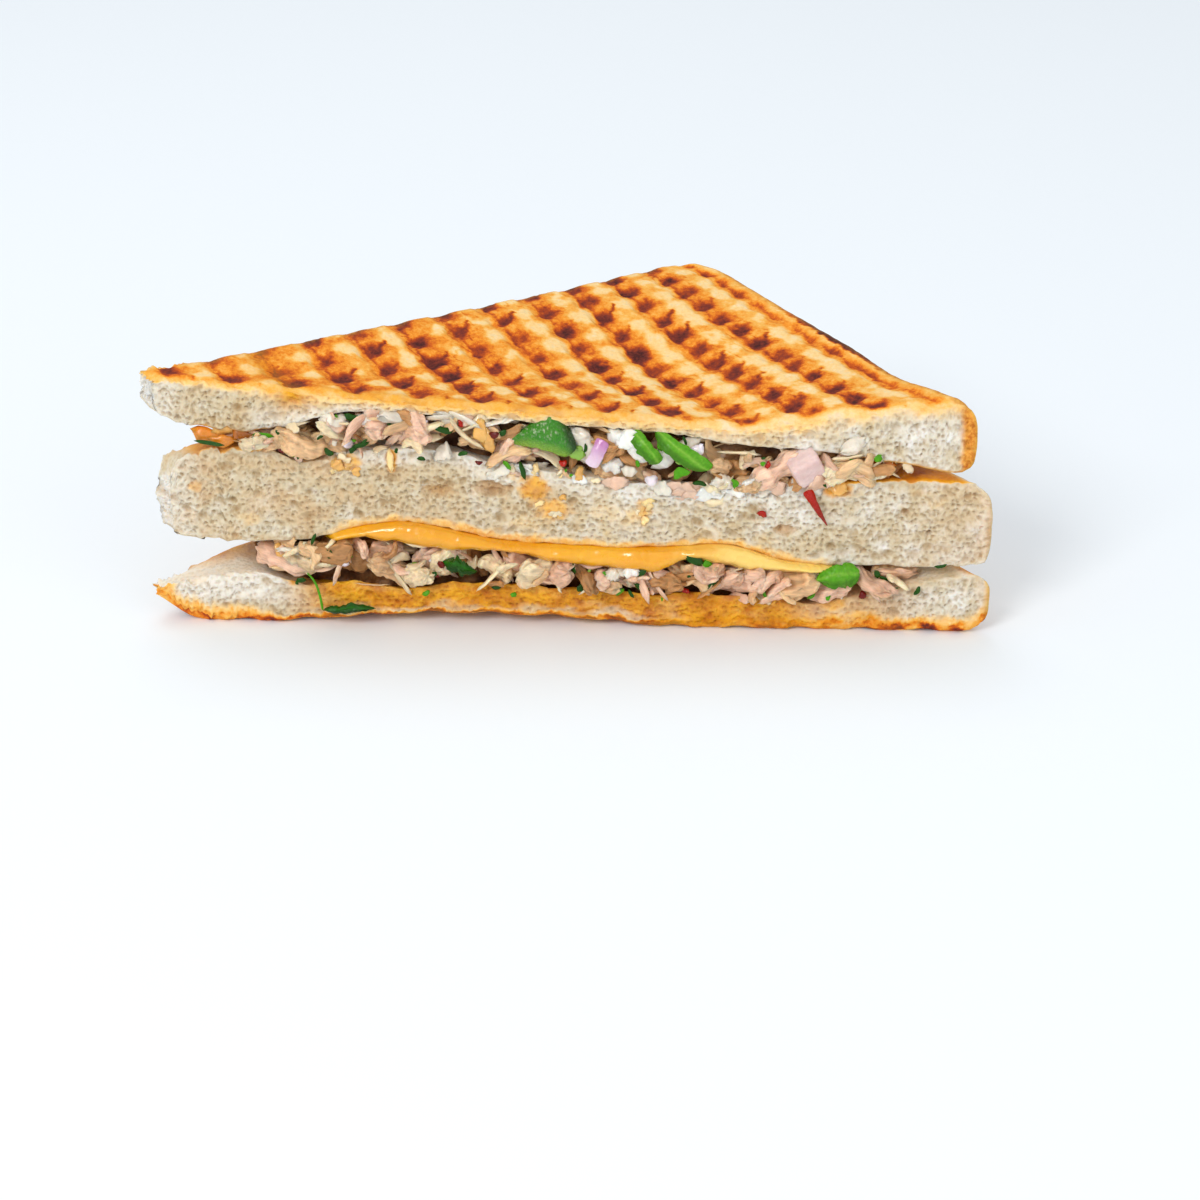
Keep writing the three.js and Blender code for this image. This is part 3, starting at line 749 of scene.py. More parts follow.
TOAST_STOPS = (
    (0.14, Tone.CREAM), (0.28, Tone.GOLD), (0.42, Tone.AMBER), (0.56, Tone.ORANGE),
    (0.70, Tone.RUST), (0.84, Tone.BROWN), (1.0, Tone.CHAR),
)
CRUMB_STOPS = ((0.3, Tone.CRUMB_TAN), (0.5, Tone.CRUMB), (0.8, Tone.CRUMB_WHITE))


@dataclass(frozen=True)
class BreadFinish:
    """Toasted or soft bread: crumb, crust, grill marks and soaked patches.

    The mesh holds how far each point is toasted, how much crust, soak and whiteness (milk)
    it has and how deep it lies in a pore; that depth darkens the crumb as painted shade.
    """

    name: str
    pore: float = 0.75
    bump: float = 0.28
    scatter_share: float = 0.5

    def build(self) -> Material:
        """Makes the material."""
        material, graph, shader = new_material(self.name)
        place = graph.place()
        grain = graph.add("ShaderNodeGroup", {}, node_tree=crumb_grain())
        graph.feed(grain, {"Place": place, "Pore": self.pore, "Mottle": 0.5})
        speck = graph.noise(place, 1600.0, 5.0, 0.7)
        blot = graph.noise(place, 620.0, 7.0, 0.65)
        broad = graph.noise(place, 260.0, 5.0, 0.6)
        swing = graph.times(graph.minus(speck, 0.5), 0.5)
        swing = graph.plus(swing, graph.times(graph.minus(blot, 0.5), 0.6))
        toasted, soak = graph.held("toast"), graph.held("soak")
        depth = graph.plus(graph.times(toasted, 2.0), 0.04, clamp=True)
        toast = graph.plus(toasted, graph.times(swing, depth), clamp=True)
        crumb = graph.ramp(self.crumb_mottle(graph, place, broad), CRUMB_STOPS)
        crumb = graph.blend(graph.held("milk"), crumb, Tone.CRUMB_WHITE)
        colour = graph.blend(graph.spread(toast, 0.03, 0.15), crumb, graph.ramp(toast, TOAST_STOPS))
        uneven = graph.minus(graph.plus(speck, graph.times(blot, 1.5)), 0.75, clamp=True)
        crust = graph.ramp(uneven, ((0.25, Tone.GOLD), (0.5, Tone.CRUST), (0.75, Tone.CRUST_DEEP)))
        crust = graph.blend(graph.times(toast, 0.9), crust, Tone.CHAR)
        colour = graph.blend(graph.held("crust"), colour, crust)
        soaked = graph.ramp(broad, ((0.36, Tone.SOAKED_DEEP), (0.6, Tone.SOAKED)))
        colour = graph.blend(graph.times(soak, 0.97), colour, soaked)
        open_crumb = graph.minus(1.0, graph.times(toasted, 5.0), clamp=True)
        # Painted shade: the crumb darkens towards the pore tone with the grain's pore shade and the mesh's
        # pore depth, less where it is toasted or soaked.
        shade = graph.times(graph.minus(1.0, grain.outputs["Shade"]), 0.45)
        hollow = graph.plus(shade, graph.held("pore"), clamp=True)
        hollow = graph.times(hollow, graph.plus(graph.times(open_crumb, 0.9), 0.1))
        hollow = graph.times(hollow, graph.minus(1.0, graph.times(soak, 0.8)))
        colour = graph.blend(graph.times(hollow, 0.78), colour, Tone.PORE_SHADE, "MULTIPLY")
        rugged = graph.times(graph.plus(graph.times(open_crumb, 0.8), 0.2), self.bump)
        coarse = graph.bump(grain.outputs["Height"], rugged, 0.0005)
        pale = graph.minus(1.0, graph.times(toasted, 1.8), clamp=True)
        graph.feed(shader, {
            "Base Color": colour,
            "Roughness": graph.minus(0.86, graph.times(soak, 0.5)),
            "Normal": graph.bump(speck, 0.4, 0.0004, Normal=coarse),
            "Subsurface Weight": graph.times(pale, self.scatter_share),
            "Subsurface Radius": (1.0, 0.75, 0.5),
            "Subsurface Scale": 0.002,
            "Specular IOR Level": 0.18,
        })
        return material

    @staticmethod
    def crumb_mottle(graph: Graph, place: Socket, noise: Socket) -> Socket:
        """Noise for the crumb's colour, fine and broad: warmer at the left, whiter at the right."""
        x = graph.add("ShaderNodeSeparateXYZ", {0: place}).outputs["X"]
        drift = graph.times(graph.minus(graph.noise(place, 85.0, 3.0), 0.5), 0.6)
        return graph.plus(graph.plus(noise, drift), graph.spread(x, -0.04, 0.05, -0.04, 0.1))


@dataclass(frozen=True)
class MoistFinish:
    """Moist or glossy food whose colour the mesh holds point by point, under "tint"; for some pieces it
    carries painted shade and light.
    """

    name: str
    wet: float = 0.25
    dry: float = 0.6
    patch: float = 2.0
    mottle: float = 0.25
    bump: float = 0.3
    scatter_share: float = 0.15
    scatter_scale: float = 0.0012
    coat: float = 0.0
    shine: float = 0.5
    along_strands: bool = False  # whether the mottle is drawn out along each piece

    def build(self) -> Material:
        """Makes the material."""
        material, graph, shader = new_material(self.name)
        place = graph.held("strand", "Color") if self.along_strands else graph.place()
        sizes = {"Patch": self.patch, "Wet": self.wet, "Dry": self.dry, "Depth": self.mottle}
        mottled = graph.add("ShaderNodeGroup", {}, node_tree=wet_mottle())
        graph.feed(mottled, {"Place": place, **sizes})
        graph.feed(shader, {
            "Base Color": graph.blend(1.0, graph.held("tint", "Color"), mottled.outputs["Shade"], "MULTIPLY"),
            "Roughness": mottled.outputs["Roughness"],
            "Normal": graph.bump(mottled.outputs["Height"], self.bump, 0.0003),
            "Subsurface Weight": self.scatter_share,
            "Subsurface Radius": (1.0, 0.6, 0.35),
            "Subsurface Scale": self.scatter_scale,
            "Specular IOR Level": self.shine,
            "Coat Weight": self.coat,
            "Coat Roughness": 0.08,
        })
        return material


# ------------------------------------------------------------------ bread
@dataclass
class GrillPattern:
    """The relief and the scorch that a ridged, toothed grill plate leaves.

    A groove runs along v every pitch. Its left side is sharp; to the right of it the bread
    swells into humps, one between each pair of teeth. Each tooth leaves a dark hook.
    """

    seed: int
    pitch: float = GRILL_PITCH
    first: float = FIRST_GROOVE
    tooth: float = TOOTH_PITCH

    def cell(self, u: Array, v: Array) -> tuple[Array, Array, Array, Array]:
        """Distance right of the groove, distance along it from the tooth, and cell numbers."""
        bent = u + 0.45 * waves(u / 14, v / 8, self.seed, 2)
        across = (bent - self.first) / self.pitch
        row = np.floor(across + 0.04)
        along = (v + 0.5 * waves(u / 9, v / 11, self.seed + 5, 2) - 2.4) / self.tooth
        tooth = np.floor(along + 0.5)
        return (across - row) * self.pitch, (along - tooth) * self.tooth, row, tooth

    def hump(self, u: Array, v: Array) -> Array:
        """Height of the humps: 1 on the crests and lowest where a tooth pressed into a groove."""
        du, dv, row, tooth = self.cell(u, v)
        bite = bell(dv, 0, 1.7)
        share = du / self.pitch + 0.03 * bite
        groove = 1 - between(0.0, 0.40, 0.78, 0.96, share)
        pressed = 0.22 + (0.5 + 0.35 * scatter(row, tooth, self.seed + 30)) * bite
        return 1 - groove * pressed

    def ragged(self, u: Array, v: Array) -> tuple[Array, Array]:
        """Moves a spot a little, so that what is drawn there gets torn edges."""
        shift = 0.55 * waves(u / 1.2, v / 1.2, self.seed + 7, 3)
        shift = shift + 0.5 * waves(u / 3.5, v / 3.5, self.seed + 8, 1)
        slide = 0.65 * waves(u / 1.3, v / 1.3, self.seed + 9, 3)
        slide = slide + 0.6 * waves(u / 4, v / 4, self.seed + 10, 1)
        return u + shift, v + slide

    def scorch(self, u: Array, v: Array) -> Array:
        """How far the pattern toasts the bread, from 0.1 on a pale blotch to 1 in a mark.

        Each tooth leaves a brown body, a thin tail that rises from its right end, and a rusty
        halo. A thin line joins the bodies along the groove's edge, and the slope down into the
        next groove darkens a little: partly scorch, partly painted shade of the groove. The
        crests are blotched with cream between the teeth.
        """
        du, dv, row, tooth = self.cell(*self.ragged(u, v))
        luck, slip, fate = (scatter(row, tooth, self.seed + 20 + k) for k in range(3))
        broad = waves(u / 16, v / 13, self.seed + 3, 2)
        mottle = waves(u / 2.1, v / 2.1, self.seed + 4, 4)
        patch = 0.65 * np.cos(2 * np.pi * (dv + 1.6) / self.tooth)
        patch = patch + 1.7 * waves(u / 2.6, v / 2.8, self.seed + 11, 3)
        crest = bell(du, 6.0, 2.3)
        blotch = smooth(0.1, 0.85, crest * (0.44 + 0.6 * patch + 0.3 * broad + 0.25 * smooth(45, 90, u)))
        level = 0.425 + 0.05 * broad + 0.07 * mottle - 0.24 * blotch - 0.04 * crest
        level = level - 0.05 * smooth(50, 100, u)
        # Partly scorch, partly painted shade: the slope down into the next groove darkens.
        level = np.maximum(level, 0.15) + 0.08 * smooth(7.0, 8.4, du)
        dv = dv + 0.9 * (slip - 0.5)
        level = level + bell(np.hypot(du - 1.9, dv), 0, 2.0) * (0.16 + 0.12 * luck)
        # Partly scorch, partly painted shade: a dark line along the groove's edge.
        level = level + bell(du, 0.3, 0.42) * (0.12 + 0.16 * luck)
        rise = np.clip(0.7 * (du - 2.1) - 0.7 * (dv - 0.4), 0, 1.6 + 2.4 * fate)
        off = np.hypot(du - 2.1 - 0.7 * rise, dv - 0.4 + 0.7 * rise)
        tail = np.exp(-((off / (0.55 - 0.08 * rise)) ** 2)) * smooth(0.25, 0.7, fate)
        level = mix(level, 0.80 + 0.1 * fate, 0.9 * tail)
        body = np.exp(-np.abs((du - 1.4) / (0.95 + 0.5 * luck)) ** 4 - np.abs(dv / (1.05 + 0.8 * luck)) ** 4)
        body = body * (0.55 + 0.45 * smooth(0.05, 0.3, fate))
        level = mix(level, 0.80 + 0.14 * luck + 0.08 * mottle, body)
        crack = 1 - np.abs(waves(u / 2.8, v / 2.8, self.seed + 5, 2))
        cracked = smooth(-0.1, 0.5, waves(u / 9, v / 9, self.seed + 12, 2))
        return level + 0.2 * smooth(0.95, 1.0, crack) * cracked


GRILL = GrillPattern(seed=40)


def crust_distance(u: Array, v: Array, end: float) -> Array:
    """Distance to the nearest crust, measured round the rounded back corner."""
    a, b = u - (end - CORNER_RADIUS), CORNER_RADIUS - v
    corner = (a > 0) & (b > 0)
    reach = np.maximum(np.maximum(a, 0), np.maximum(b, 0))
    return np.where(corner, CORNER_RADIUS - reach, np.minimum(v, end - u))


@dataclass(frozen=True)
class Patch:
    """An ellipse on a cut face, with soft and uneven edges: a stain or a hollow."""

    along: float
    z: float
    width: float
    height: float
    strength: float = 1.0

    def share(self, along: Array, z: Array) -> Array:
        """1 in the middle of the patch, easing to 0 at its edge."""
        reach = np.hypot((along - self.along) / self.width, (z - self.z) / self.height)
        reach = reach + 0.34 * waves(along / 1.1, z / 1.1, int(10 * abs(self.along)), 3)
        return self.strength * (1 - smooth(0.45, 1.15, reach))


def strongest(patches: Sequence[Patch], along: Array, z: Array) -> Array:
    """The largest share of any of the patches at each point."""
    value = np.zeros(np.broadcast(along, z).shape)
    for patch in patches:
        value = np.maximum(value, patch.share(along, z))
    return value


@dataclass
class BreadSlice:
    """One slice of bread. Its subclasses say how each slice is pressed, torn and coloured."""

    name: str
    node: str
    slot: str
    span: Pair
    columns: int
    rows: int
    levels: int
    stride: int
    seed: int
    crag: float = 0.42  # height of the torn crumb's crags on the cut, mm
    roll: float = EDGE_ROUNDING  # how far the edges at the crusts roll over, mm
    roll_reach: float = 2.4
    stains: Sequence[Patch] = ()
    hollows: Sequence[Patch] = ()

    def rounding(self, u: Array, v: Array) -> Array:
        """How far a face rolls over towards the crusts: the square of what the reach lacks."""
        gone = 1 - np.clip(crust_distance(u, v, self.span[1]) / self.roll_reach, 0, 1)
        return self.roll * gone**2 * mix(0.25, 1.0, smooth(0, 10, u - self.span[0]))

    def tip(self, u: Array, reach: float) -> Array:
        """A quarter round at the left end: 1 at the end, 0 from the reach onwards."""
        gone = 1 - np.clip((u - self.span[0]) / reach, 0, 1)
        return 1 - np.sqrt(1 - gone**2)

    def fray(self, u: Array, v: Array) -> Array:
        """Unevenness of the slice's edge at the cut and the left tip, fading 1.5 mm into the face."""
        along = PLAN.along_cut(u)
        torn = 0.32 + 0.9 * (1 - smooth(-62, -48, along))
        back = (1 - smooth(0, 1.5, v)) * (1 - smooth(10, 18, u))
        near = np.maximum(1 - smooth(0, 1.5, PLAN.cut_at(u) - v), back)
        return torn * near * waves(along / 1.1, 0.0, self.seed + 40, 3)

    @staticmethod
    def whole(u: Array) -> Array:
        """0 where the left tip is torn crumb, easing to 1 where the crusts are whole."""
        return smooth(9, 16, u)

    def crown(self, u: Array, v: Array) -> Array:
        """Height of the upper face."""
        raise NotImplementedError

    def under(self, u: Array, v: Array) -> Array:
        """Height of the lower face."""
        raise NotImplementedError

    def pore_depth(self, along: Array, z: Array) -> Array:
        """Depth of the crumb's pores on the cut: a few large ones among many small ones."""
        large = pores(along / 1.1, z * 0.85, 1.9, 0.24, self.seed) * 0.9
        small = pores(along + 0.3 * z, z * 0.85, 0.85, 0.85, self.seed + 10) * 0.7
        return np.maximum(large, small)

    def wall(self, at: Spots) -> Array:
        """How far the wall stands out.

        The crusts swell by 1 - (2 level - 1)^4. The cut and the left end are torn crumb:
        crags, less the depth of the pores and hollows.
        """
        side, z, path, level = at.u + at.v, at.z, at.path, at.level
        along = at.along + np.where(at.on_tip, 30 * (path - 3), 0)
        swell = CRUST_BULGE * (1 - (2 * level - 1) ** 4) + 0.16 * waves(side / 2, z / 2, self.seed + 3, 4)
        crags = self.crag * waves(along / 3.4, z / 2.6, self.seed + 4, 4)
        crags = crags + 0.2 * waves(along / 1.1, z / 1.0, self.seed + 6, 2)
        tip = np.where(at.on_tip, 1.0, (path > 2) * (1 - self.whole(at.u)))
        fluff = 1.5 * waves(z / 2.1, side / 2.4, self.seed + 60, 2)
        fluff = fluff + 1.2 * waves(z / 0.9, side / 1.0, self.seed + 61, 2)
        crags = crags + 0.7 * fluff * at.on_tip * (1 - smooth(0.75, 1.0, path - 3))
        swell = mix(swell, 0.4 * swell + 0.8 * fluff, tip)
        inside = smooth(0, 0.1, level) * smooth(1, 0.92, level)
        crags = crags - (0.95 * self.pore_depth(along, z) + 1.3 * strongest(self.hollows, along, z)) * inside
        rim = 0.45 * (1 - smooth(0.0, 0.18, level)) + 0.2 * smooth(0.92, 1.0, level)
        torn = crags - rim + self.torn_more(at)
        ends = smooth(0, 0.02, path) * smooth(1, 0.985, path)
        ends = np.where(at.on_tip, 1.0, mix(0.5, 1.0, ends))
        return np.where(at.torn, torn * ends, swell)

    def torn_more(self, at: Spots) -> Array | float:
        """Extra shape of the cut face of this slice."""
        return 0.0

    def toast(self, at: Spots) -> Array:
        """How far each point is toasted, 0 to 1."""
        raise NotImplementedError

    def soak(self, at: Spots) -> Array:
        """How soaked each point is, 0 to 1."""
        raise NotImplementedError

    def crust(self, at: Spots) -> Array:
        """How much crust each point is, 0 to 1: none where the left end is torn."""
        uneven = 0.5 * waves(at.u / 2, at.v / 2 + at.z / 2, self.seed + 8, 3)
        near = crust_distance(at.u, at.v, self.span[1]) + uneven
        torn = at.on_tip | at.on_cut & (at.path < 0.5)
        width = np.where(at.on_cut, 1.8, 2.9)
        edged = np.maximum(at.on_crust, 1 - smooth(0.35 * width, width, near))
        return np.where(torn, 0, edged) * self.whole(at.u + 2 * uneven)

    def milk(self, at: Spots) -> Array:
        """How much whiter than the rest each point is, 0 to 1: the torn left end is."""
        end = 1 - smooth(self.span[0], self.span[0] + 7, at.u)
        return 0.5 * at.on_tip + 0.5 * (at.path >= 0) * end

    def build(self, material: Material) -> None:
        """Makes the slice and settles it in the place of its node."""
        shell = SlabGrid(
            span=self.span, columns=self.columns, rows=crowded_rows(self.rows, 0.25), levels=self.levels,
            crown=self.crown, under=self.under, wall=self.wall, stride=self.stride,
        ).build()
        at = Spots.of(shell)
        # The pore depth, with that of the hollows, darkens the crumb in the material as painted shade.
        dent = strongest(self.hollows, at.along, at.z)
        deep = np.maximum(self.pore_depth(at.along, at.z), 0.4 * dent)
        stained = strongest(self.stains, at.along, at.z) * at.torn
        soaked = np.maximum(self.soak(at), np.maximum(stained, 0.34 * dent * at.torn))
        shell.values = {
            "toast": np.clip(self.toast(at) + 0.2 * stained, 0, 1),
            "crust": np.clip(self.crust(at), 0, 1),
            "soak": np.clip(soaked, 0, 1),
            "milk": np.clip(self.milk(at), 0, 1),
            "pore": at.torn * deep * smooth(0, 0.1, at.level),
        }
        shell.settle(self.name, material, self.slot, self.node)


class TopSlice(BreadSlice):
    """The grilled lid, with its rows of scorched grooves."""

    def crown(self, u: Array, v: Array) -> Array:
        """Crown of the lid, with a dip at the short crust and the grill's relief in it."""
        sag = 1.7 * bell(v, 62, 11) * smooth(LONG_CRUST - 24, LONG_CRUST, u)
        marked = self.marked(u, v) * mix(0.45, 1.0, smooth(0.5, 6, v))
        relief = GROOVE_DEPTH * (1 - GRILL.hump(u, v)) * marked
        sear = 0.22 * smooth(0.45, 0.85, GRILL.scorch(u, v)) * marked
        rough = 0.13 * waves(u / 3.3, v / 3.3, 2, 4) + 0.05 * waves(u / 0.9, v / 0.9, 4, 2)
        rim = 0.9 * (1 - smooth(0, 2.6, PLAN.cut_at(u) - v))
        base = HEIGHT["top_crown"](u, v) - sag - self.rounding(u, v) - 0.4 * self.tip(u, 3)
        return base - relief - sear + rough - rim + self.fray(u, v)

    def marked(self, u: Array, v: Array) -> Array:
        """Where the grill pressed: fading to the left tip, the cut and the rim at the short crust."""
        pressed = between(5, 9, self.span[1] - 5.0, self.span[1] - 2.5, u)
        return pressed * mix(0.3, 1.0, smooth(0.3, 3.2, PLAN.cut_at(u) - v))

    def under(self, u: Array, v: Array) -> Array:
        """Lower face of the lid, which curves up at the left tip."""
        rough = 0.15 * waves(u / 3, v / 3, 6) + self.fray(u, v)
        return HEIGHT["top_under"](u, v) + self.rounding(u, v) + rough + 3.2 * self.tip(u, 4.5)

    def toast(self, at: Spots) -> Array:
        """The grill's scorch on top; a thin golden line runs into the cut below it."""
        u, v, along, inward, level = at.u, at.v, at.along, at.inward, at.level
        middle = between(-62, -40, 34, 58, along)
        edge = waves(along / 4, 0.0, 9, 3)
        front = smooth(0.2 + 0.5 * middle, 2.4 + 1.6 * middle, inward + (0.9 + 1.1 * middle) * edge)
        plain = 0.3 + 0.12 * waves(u / 4, v / 4, 12, 3)
        marked = self.marked(u, v) * smooth(0.3, 1.6, crust_distance(u, v, self.span[1]))
        blotches = waves(along / 3.4, inward / 5 - 2.2 * level, 18, 3)
        brim = 0.23 - 0.09 * between(0, 30, 60, 68, along) + 0.09 * blotches
        face = mix(brim, mix(plain, GRILL.scorch(u, v), marked), front)
        below = np.maximum(HEIGHT["top_crown"](u, v) - at.z - 0.6, 0)
        below = np.maximum(below + 0.7 * waves(along / 2.2, below / 1.5, 19, 3), 0)
        fade = 0.8 + 0.2 * middle + 1.2 * smooth(30, 50, along)
        cut = brim * np.exp(-((below / fade) ** 1.4)) + 0.05 * middle
        burnt = bell(v, 45, 17) * (1 - smooth(2.0, 3.0, self.span[1] - u + 0.8 * waves(v / 1.1, u, 33, 3)))
        lowest = 0.05 + 0.05 * waves(v / 2, 0.0, 34)
        side = (0.15 + 0.15 * waves(u / 8, v / 8, 15)) * self.whole(u)
        side = side + 0.8 * burnt * (1 - smooth(lowest, lowest + 0.12, level))
        value = np.where(level >= 1, 0.05, np.maximum(face, burnt))
        return np.where(at.torn & (level > 0), cut, np.where(at.on_crust & (level > 0), side, value))

    def soak(self, at: Spots) -> Array:
        """Oily patches: the dent near the left end, the thin middle of the cut and the lit gap."""
        along, level = at.along, at.level
        dent = 0.95 * bell(along, *DENT) * (1 - smooth(0.2, 0.8, level))
        thin = 0.12 * between(-40, -25, 20, 44, along) * (0.7 + 0.6 * waves(along / 3, level * 3, 21))
        low = amber_reach(along, at.inward) * (level >= 1)
        edge = 0.45 * between(-50, -30, 0, 26, along) * (1 - smooth(1.5, 5.0, at.inward))
        face = np.where(level <= 0, np.maximum(0.4 * dent, edge), low)
        return np.where(at.on_cut & (level < 1), dent + thin, face)

    def milk(self, at: Spots) -> Array:
        """Creamy dressing clings to the lower edge of the cut, left of the pepper."""
        low = smooth(0.35, 0.75, at.level + 0.25 * waves(at.along / 2.6, at.z / 1.6, 35, 3))
        return np.maximum(super().milk(at), 0.8 * between(-54, -48, -12, -5, at.along) * low)

    def torn_more(self, at: Spots) -> Array:
        """The dent near the left end."""
        return -1.5 * bell(at.along, *DENT) * np.sin(np.pi * np.clip(at.level, 0, 1)) * (at.path < 1)


def amber_reach(along: Array, inward: Array) -> Array:
    """Where the bread beside the upper filling is soaked amber: near both ends of the cut."""
    ends = np.maximum(between(-64, -60, -50, -46, along), between(46, 52, 69, 72, along))
    return ends * (1 - smooth(9, 16, inward))


class MiddleSlice(BreadSlice):
    """The soft white slice between the fillings."""

    def crown(self, u: Array, v: Array) -> Array:
        """Upper face, soft and slightly uneven, rounded down at the left end."""
        rough = 0.25 * waves(u / 3, v / 3, 51, 4) + self.fray(u, v)
        return HEIGHT["middle_top"](u, v) - self.rounding(u, v) + rough - 5.0 * self.tip(u, 6.5)

    def under(self, u: Array, v: Array) -> Array:
        """Lower face, rounded up a little at the left end."""
        rough = 0.2 * waves(u / 3, v / 3, 52, 4) + self.fray(u, v)
        return HEIGHT["middle_under"](u, v) + 0.3 * self.rounding(u, v) + rough + 1.2 * self.tip(u, 3)

    def torn_more(self, at: Spots) -> Array:
        """The left end is torn and rounded: it draws back towards its upper and lower edges."""
        return -0.5 * at.on_tip * (2 * at.level - 1) ** 2

    def toast(self, at: Spots) -> Array:
        """Barely toasted: warm stains, a golden lower edge and amber faces beside the filling, turned gold at
        the right end as painted light in the lid's shade.
        """
        along = at.along
        stain = smooth(0.1, 0.8, waves(along / 9, at.z / 5, 61, 3)) * 0.07
        # Painted light: at the right end the face beside the filling is toasted up to gold, so that it glows
        # in the lid's shade.
        amber = (0.1 + 0.22 * smooth(40, 50, along)) * amber_reach(along, at.inward) * (at.level <= 0)
        hem = smooth(0.86, 1.0, at.level + 0.06 * waves(along / 2, at.z, 64, 2))
        return 0.01 + stain + 0.24 * (hem * between(-42, -34, 42, 50, along)) + amber

    def milk(self, at: Spots) -> Array:
        """Dressing has run along the upper edge of the cut."""
        below = HEIGHT["middle_top"](at.u, at.v) - at.z + 1.3 * waves(at.along / 3.4, at.z / 2.2, 66, 3)
        run = between(-44, -30, 34, 58, at.along)
        return np.maximum(super().milk(at), 0.62 * run * (1 - smooth(0.4 + run, 3.0 + run, below)))

    def crust(self, at: Spots) -> Array:
        """A pale crust: the loaf's side is only lightly browned on this slice."""
        right = ((at.path < 1) | at.on_tip) & (at.along > 40)
        return super().crust(at) * np.where(right, 0.06, 0.42)

    def soak(self, at: Spots) -> Array:
        """A yellow tinge at the right end, patches at the left, and amber beside the upper filling."""
        right = 0.24 * smooth(54, 70, at.along)
        left = 0.16 * smooth(-0.1, 0.5, waves(at.along / 4, at.z / 3, 63, 3))
        left = left * (1 - smooth(-40, -20, at.along))
        amber = 0.8 * amber_reach(at.along, at.inward) * (at.level <= 0)
        return np.maximum(0.5 * right + left, amber)


class BottomSlice(BreadSlice):
    """The thin pressed slice below, soaked in the middle and toasted underneath."""

    def crown(self, u: Array, v: Array) -> Array:
        """Upper face."""
        rough = 0.2 * waves(u / 3, v / 3, 71, 4) + self.fray(u, v)
        return HEIGHT["bottom_top"](u, v) - self.rounding(u, v) + rough + self.lip(u, v)

    def lip(self, u: Array, v: Array) -> Array:
        """The pressed middle swells up a little at the cut, in front of the filling."""
        along = PLAN.along_cut(u)
        height = (1.9 + 0.9 * waves(along / 6, 0.0, 78, 2)) * swollen(along)
        return height * (1 - smooth(0.6, 3.6, PLAN.cut_at(u) - v))

    def under(self, u: Array, v: Array) -> Array:
        """The sole: flat bands at height 0 between the grill's grooves, arched at the cut."""
        wave = 0.5 + 0.5 * np.cos(2 * np.pi * (u - FIRST_GROOVE) / GRILL_PITCH)
        near_cut = 1 - smooth(4, 24, PLAN.cut_at(u) - v)
        groove = SOLE_GROOVE_DEPTH * np.maximum(0, 2 * wave - 1) * smooth(10, 16, u) * (1 - 0.6 * near_cut)
        end = 1 - smooth(8, 14, u)
        arch = np.maximum(HEIGHT["bottom_under"](u, v), 0) * np.maximum(near_cut, end)
        rim = 0.5 * (1 - smooth(0, 1.2, PLAN.cut_at(u) - v))
        ragged = np.abs(self.fray(u, v)) * 1.6
        return groove + arch + rim + ragged + self.rounding(u, v)

    def toast(self, at: Spots) -> Array:
        """A toasted sole that shows as a brown line along the lower edge of the cut."""
        u, v, along, level = at.u, at.v, at.along, at.level
        above = at.z - self.under(u, v)
        left, right = 1 - smooth(-56, -46, along), smooth(12, 30, along)
        wide = np.maximum(0.55 + 1.3 * np.maximum(left, right) + 0.4 * waves(along / 2.2, 0.0, 75, 3), 0.2)
        line = np.exp(-((np.maximum(above, 0) / wide) ** 2.2))
        spots = smooth(0.35, 0.8, 0.5 + 0.5 * waves(along / 2.6, above / 1.5, 76, 4))
        cut = 0.02 + line * mix(0.3, 1.0 - 0.12 * right - 0.55 * left, spots)
        end = 0.30 * (1 - smooth(4.8, 7.2, u + 0.8 * waves(v, at.z / 2, 77)))
        side = (0.2 + 0.4 * smooth(0.7, 1, level)) * self.whole(u)
        face = np.where(level >= 1, np.clip(GRILL.scorch(u, v), 0.2, 1), 0.05)
        face = np.where(at.on_crust & (level > 0), side, face)
        return np.where(at.torn & (level > 0), np.maximum(cut, end), face)

    def milk(self, at: Spots) -> Array:
        """The pressed left end is white in its upper part."""
        end = 1 - smooth(-50, -40, at.along + 3 * waves(at.along / 4, at.z / 2, 85, 2))
        return np.maximum(super().milk(at), 0.85 * end * (1 - smooth(0.4, 0.8, at.level)))

    def crust(self, at: Spots) -> Array:
        """The loaf's crust is pale on this slice's cut and on its short side."""
        short = at.on_crust & (at.path < 2)
        return super().crust(at) * np.where(at.on_cut, 0.1, np.where(short, 0.45, 0.9))

    def soak(self, at: Spots) -> Array:
        """Soaked amber in its pressed middle, but for the lower edge, and behind the left end."""
        along, inward = at.along, at.inward
        middle = smooth(-50, -38, along) * (1 - 0.6 * smooth(38, 48, along) - 0.4 * smooth(54, 66, along))
        middle = middle * (1 - smooth(5, 14, inward))
        cream = smooth(0.6, 0.9, at.level + 0.3 * waves(along / 5, at.z / 2, 81, 3))
        cream = cream * (1 - 0.5 * smooth(0, 30, along))
        patchy = 1.02 + 0.25 * waves(along / 5, at.z / 2.4, 83, 3)
        behind = smooth(5, 10, inward + 2.5 * waves(at.u / 4, at.v / 4, 86, 3))
        behind = behind * (1 - smooth(24, 34, at.u)) * (at.level <= 0)
        return np.maximum(middle * np.clip(patchy - 0.7 * cream, 0, 1), 0.55 * behind)


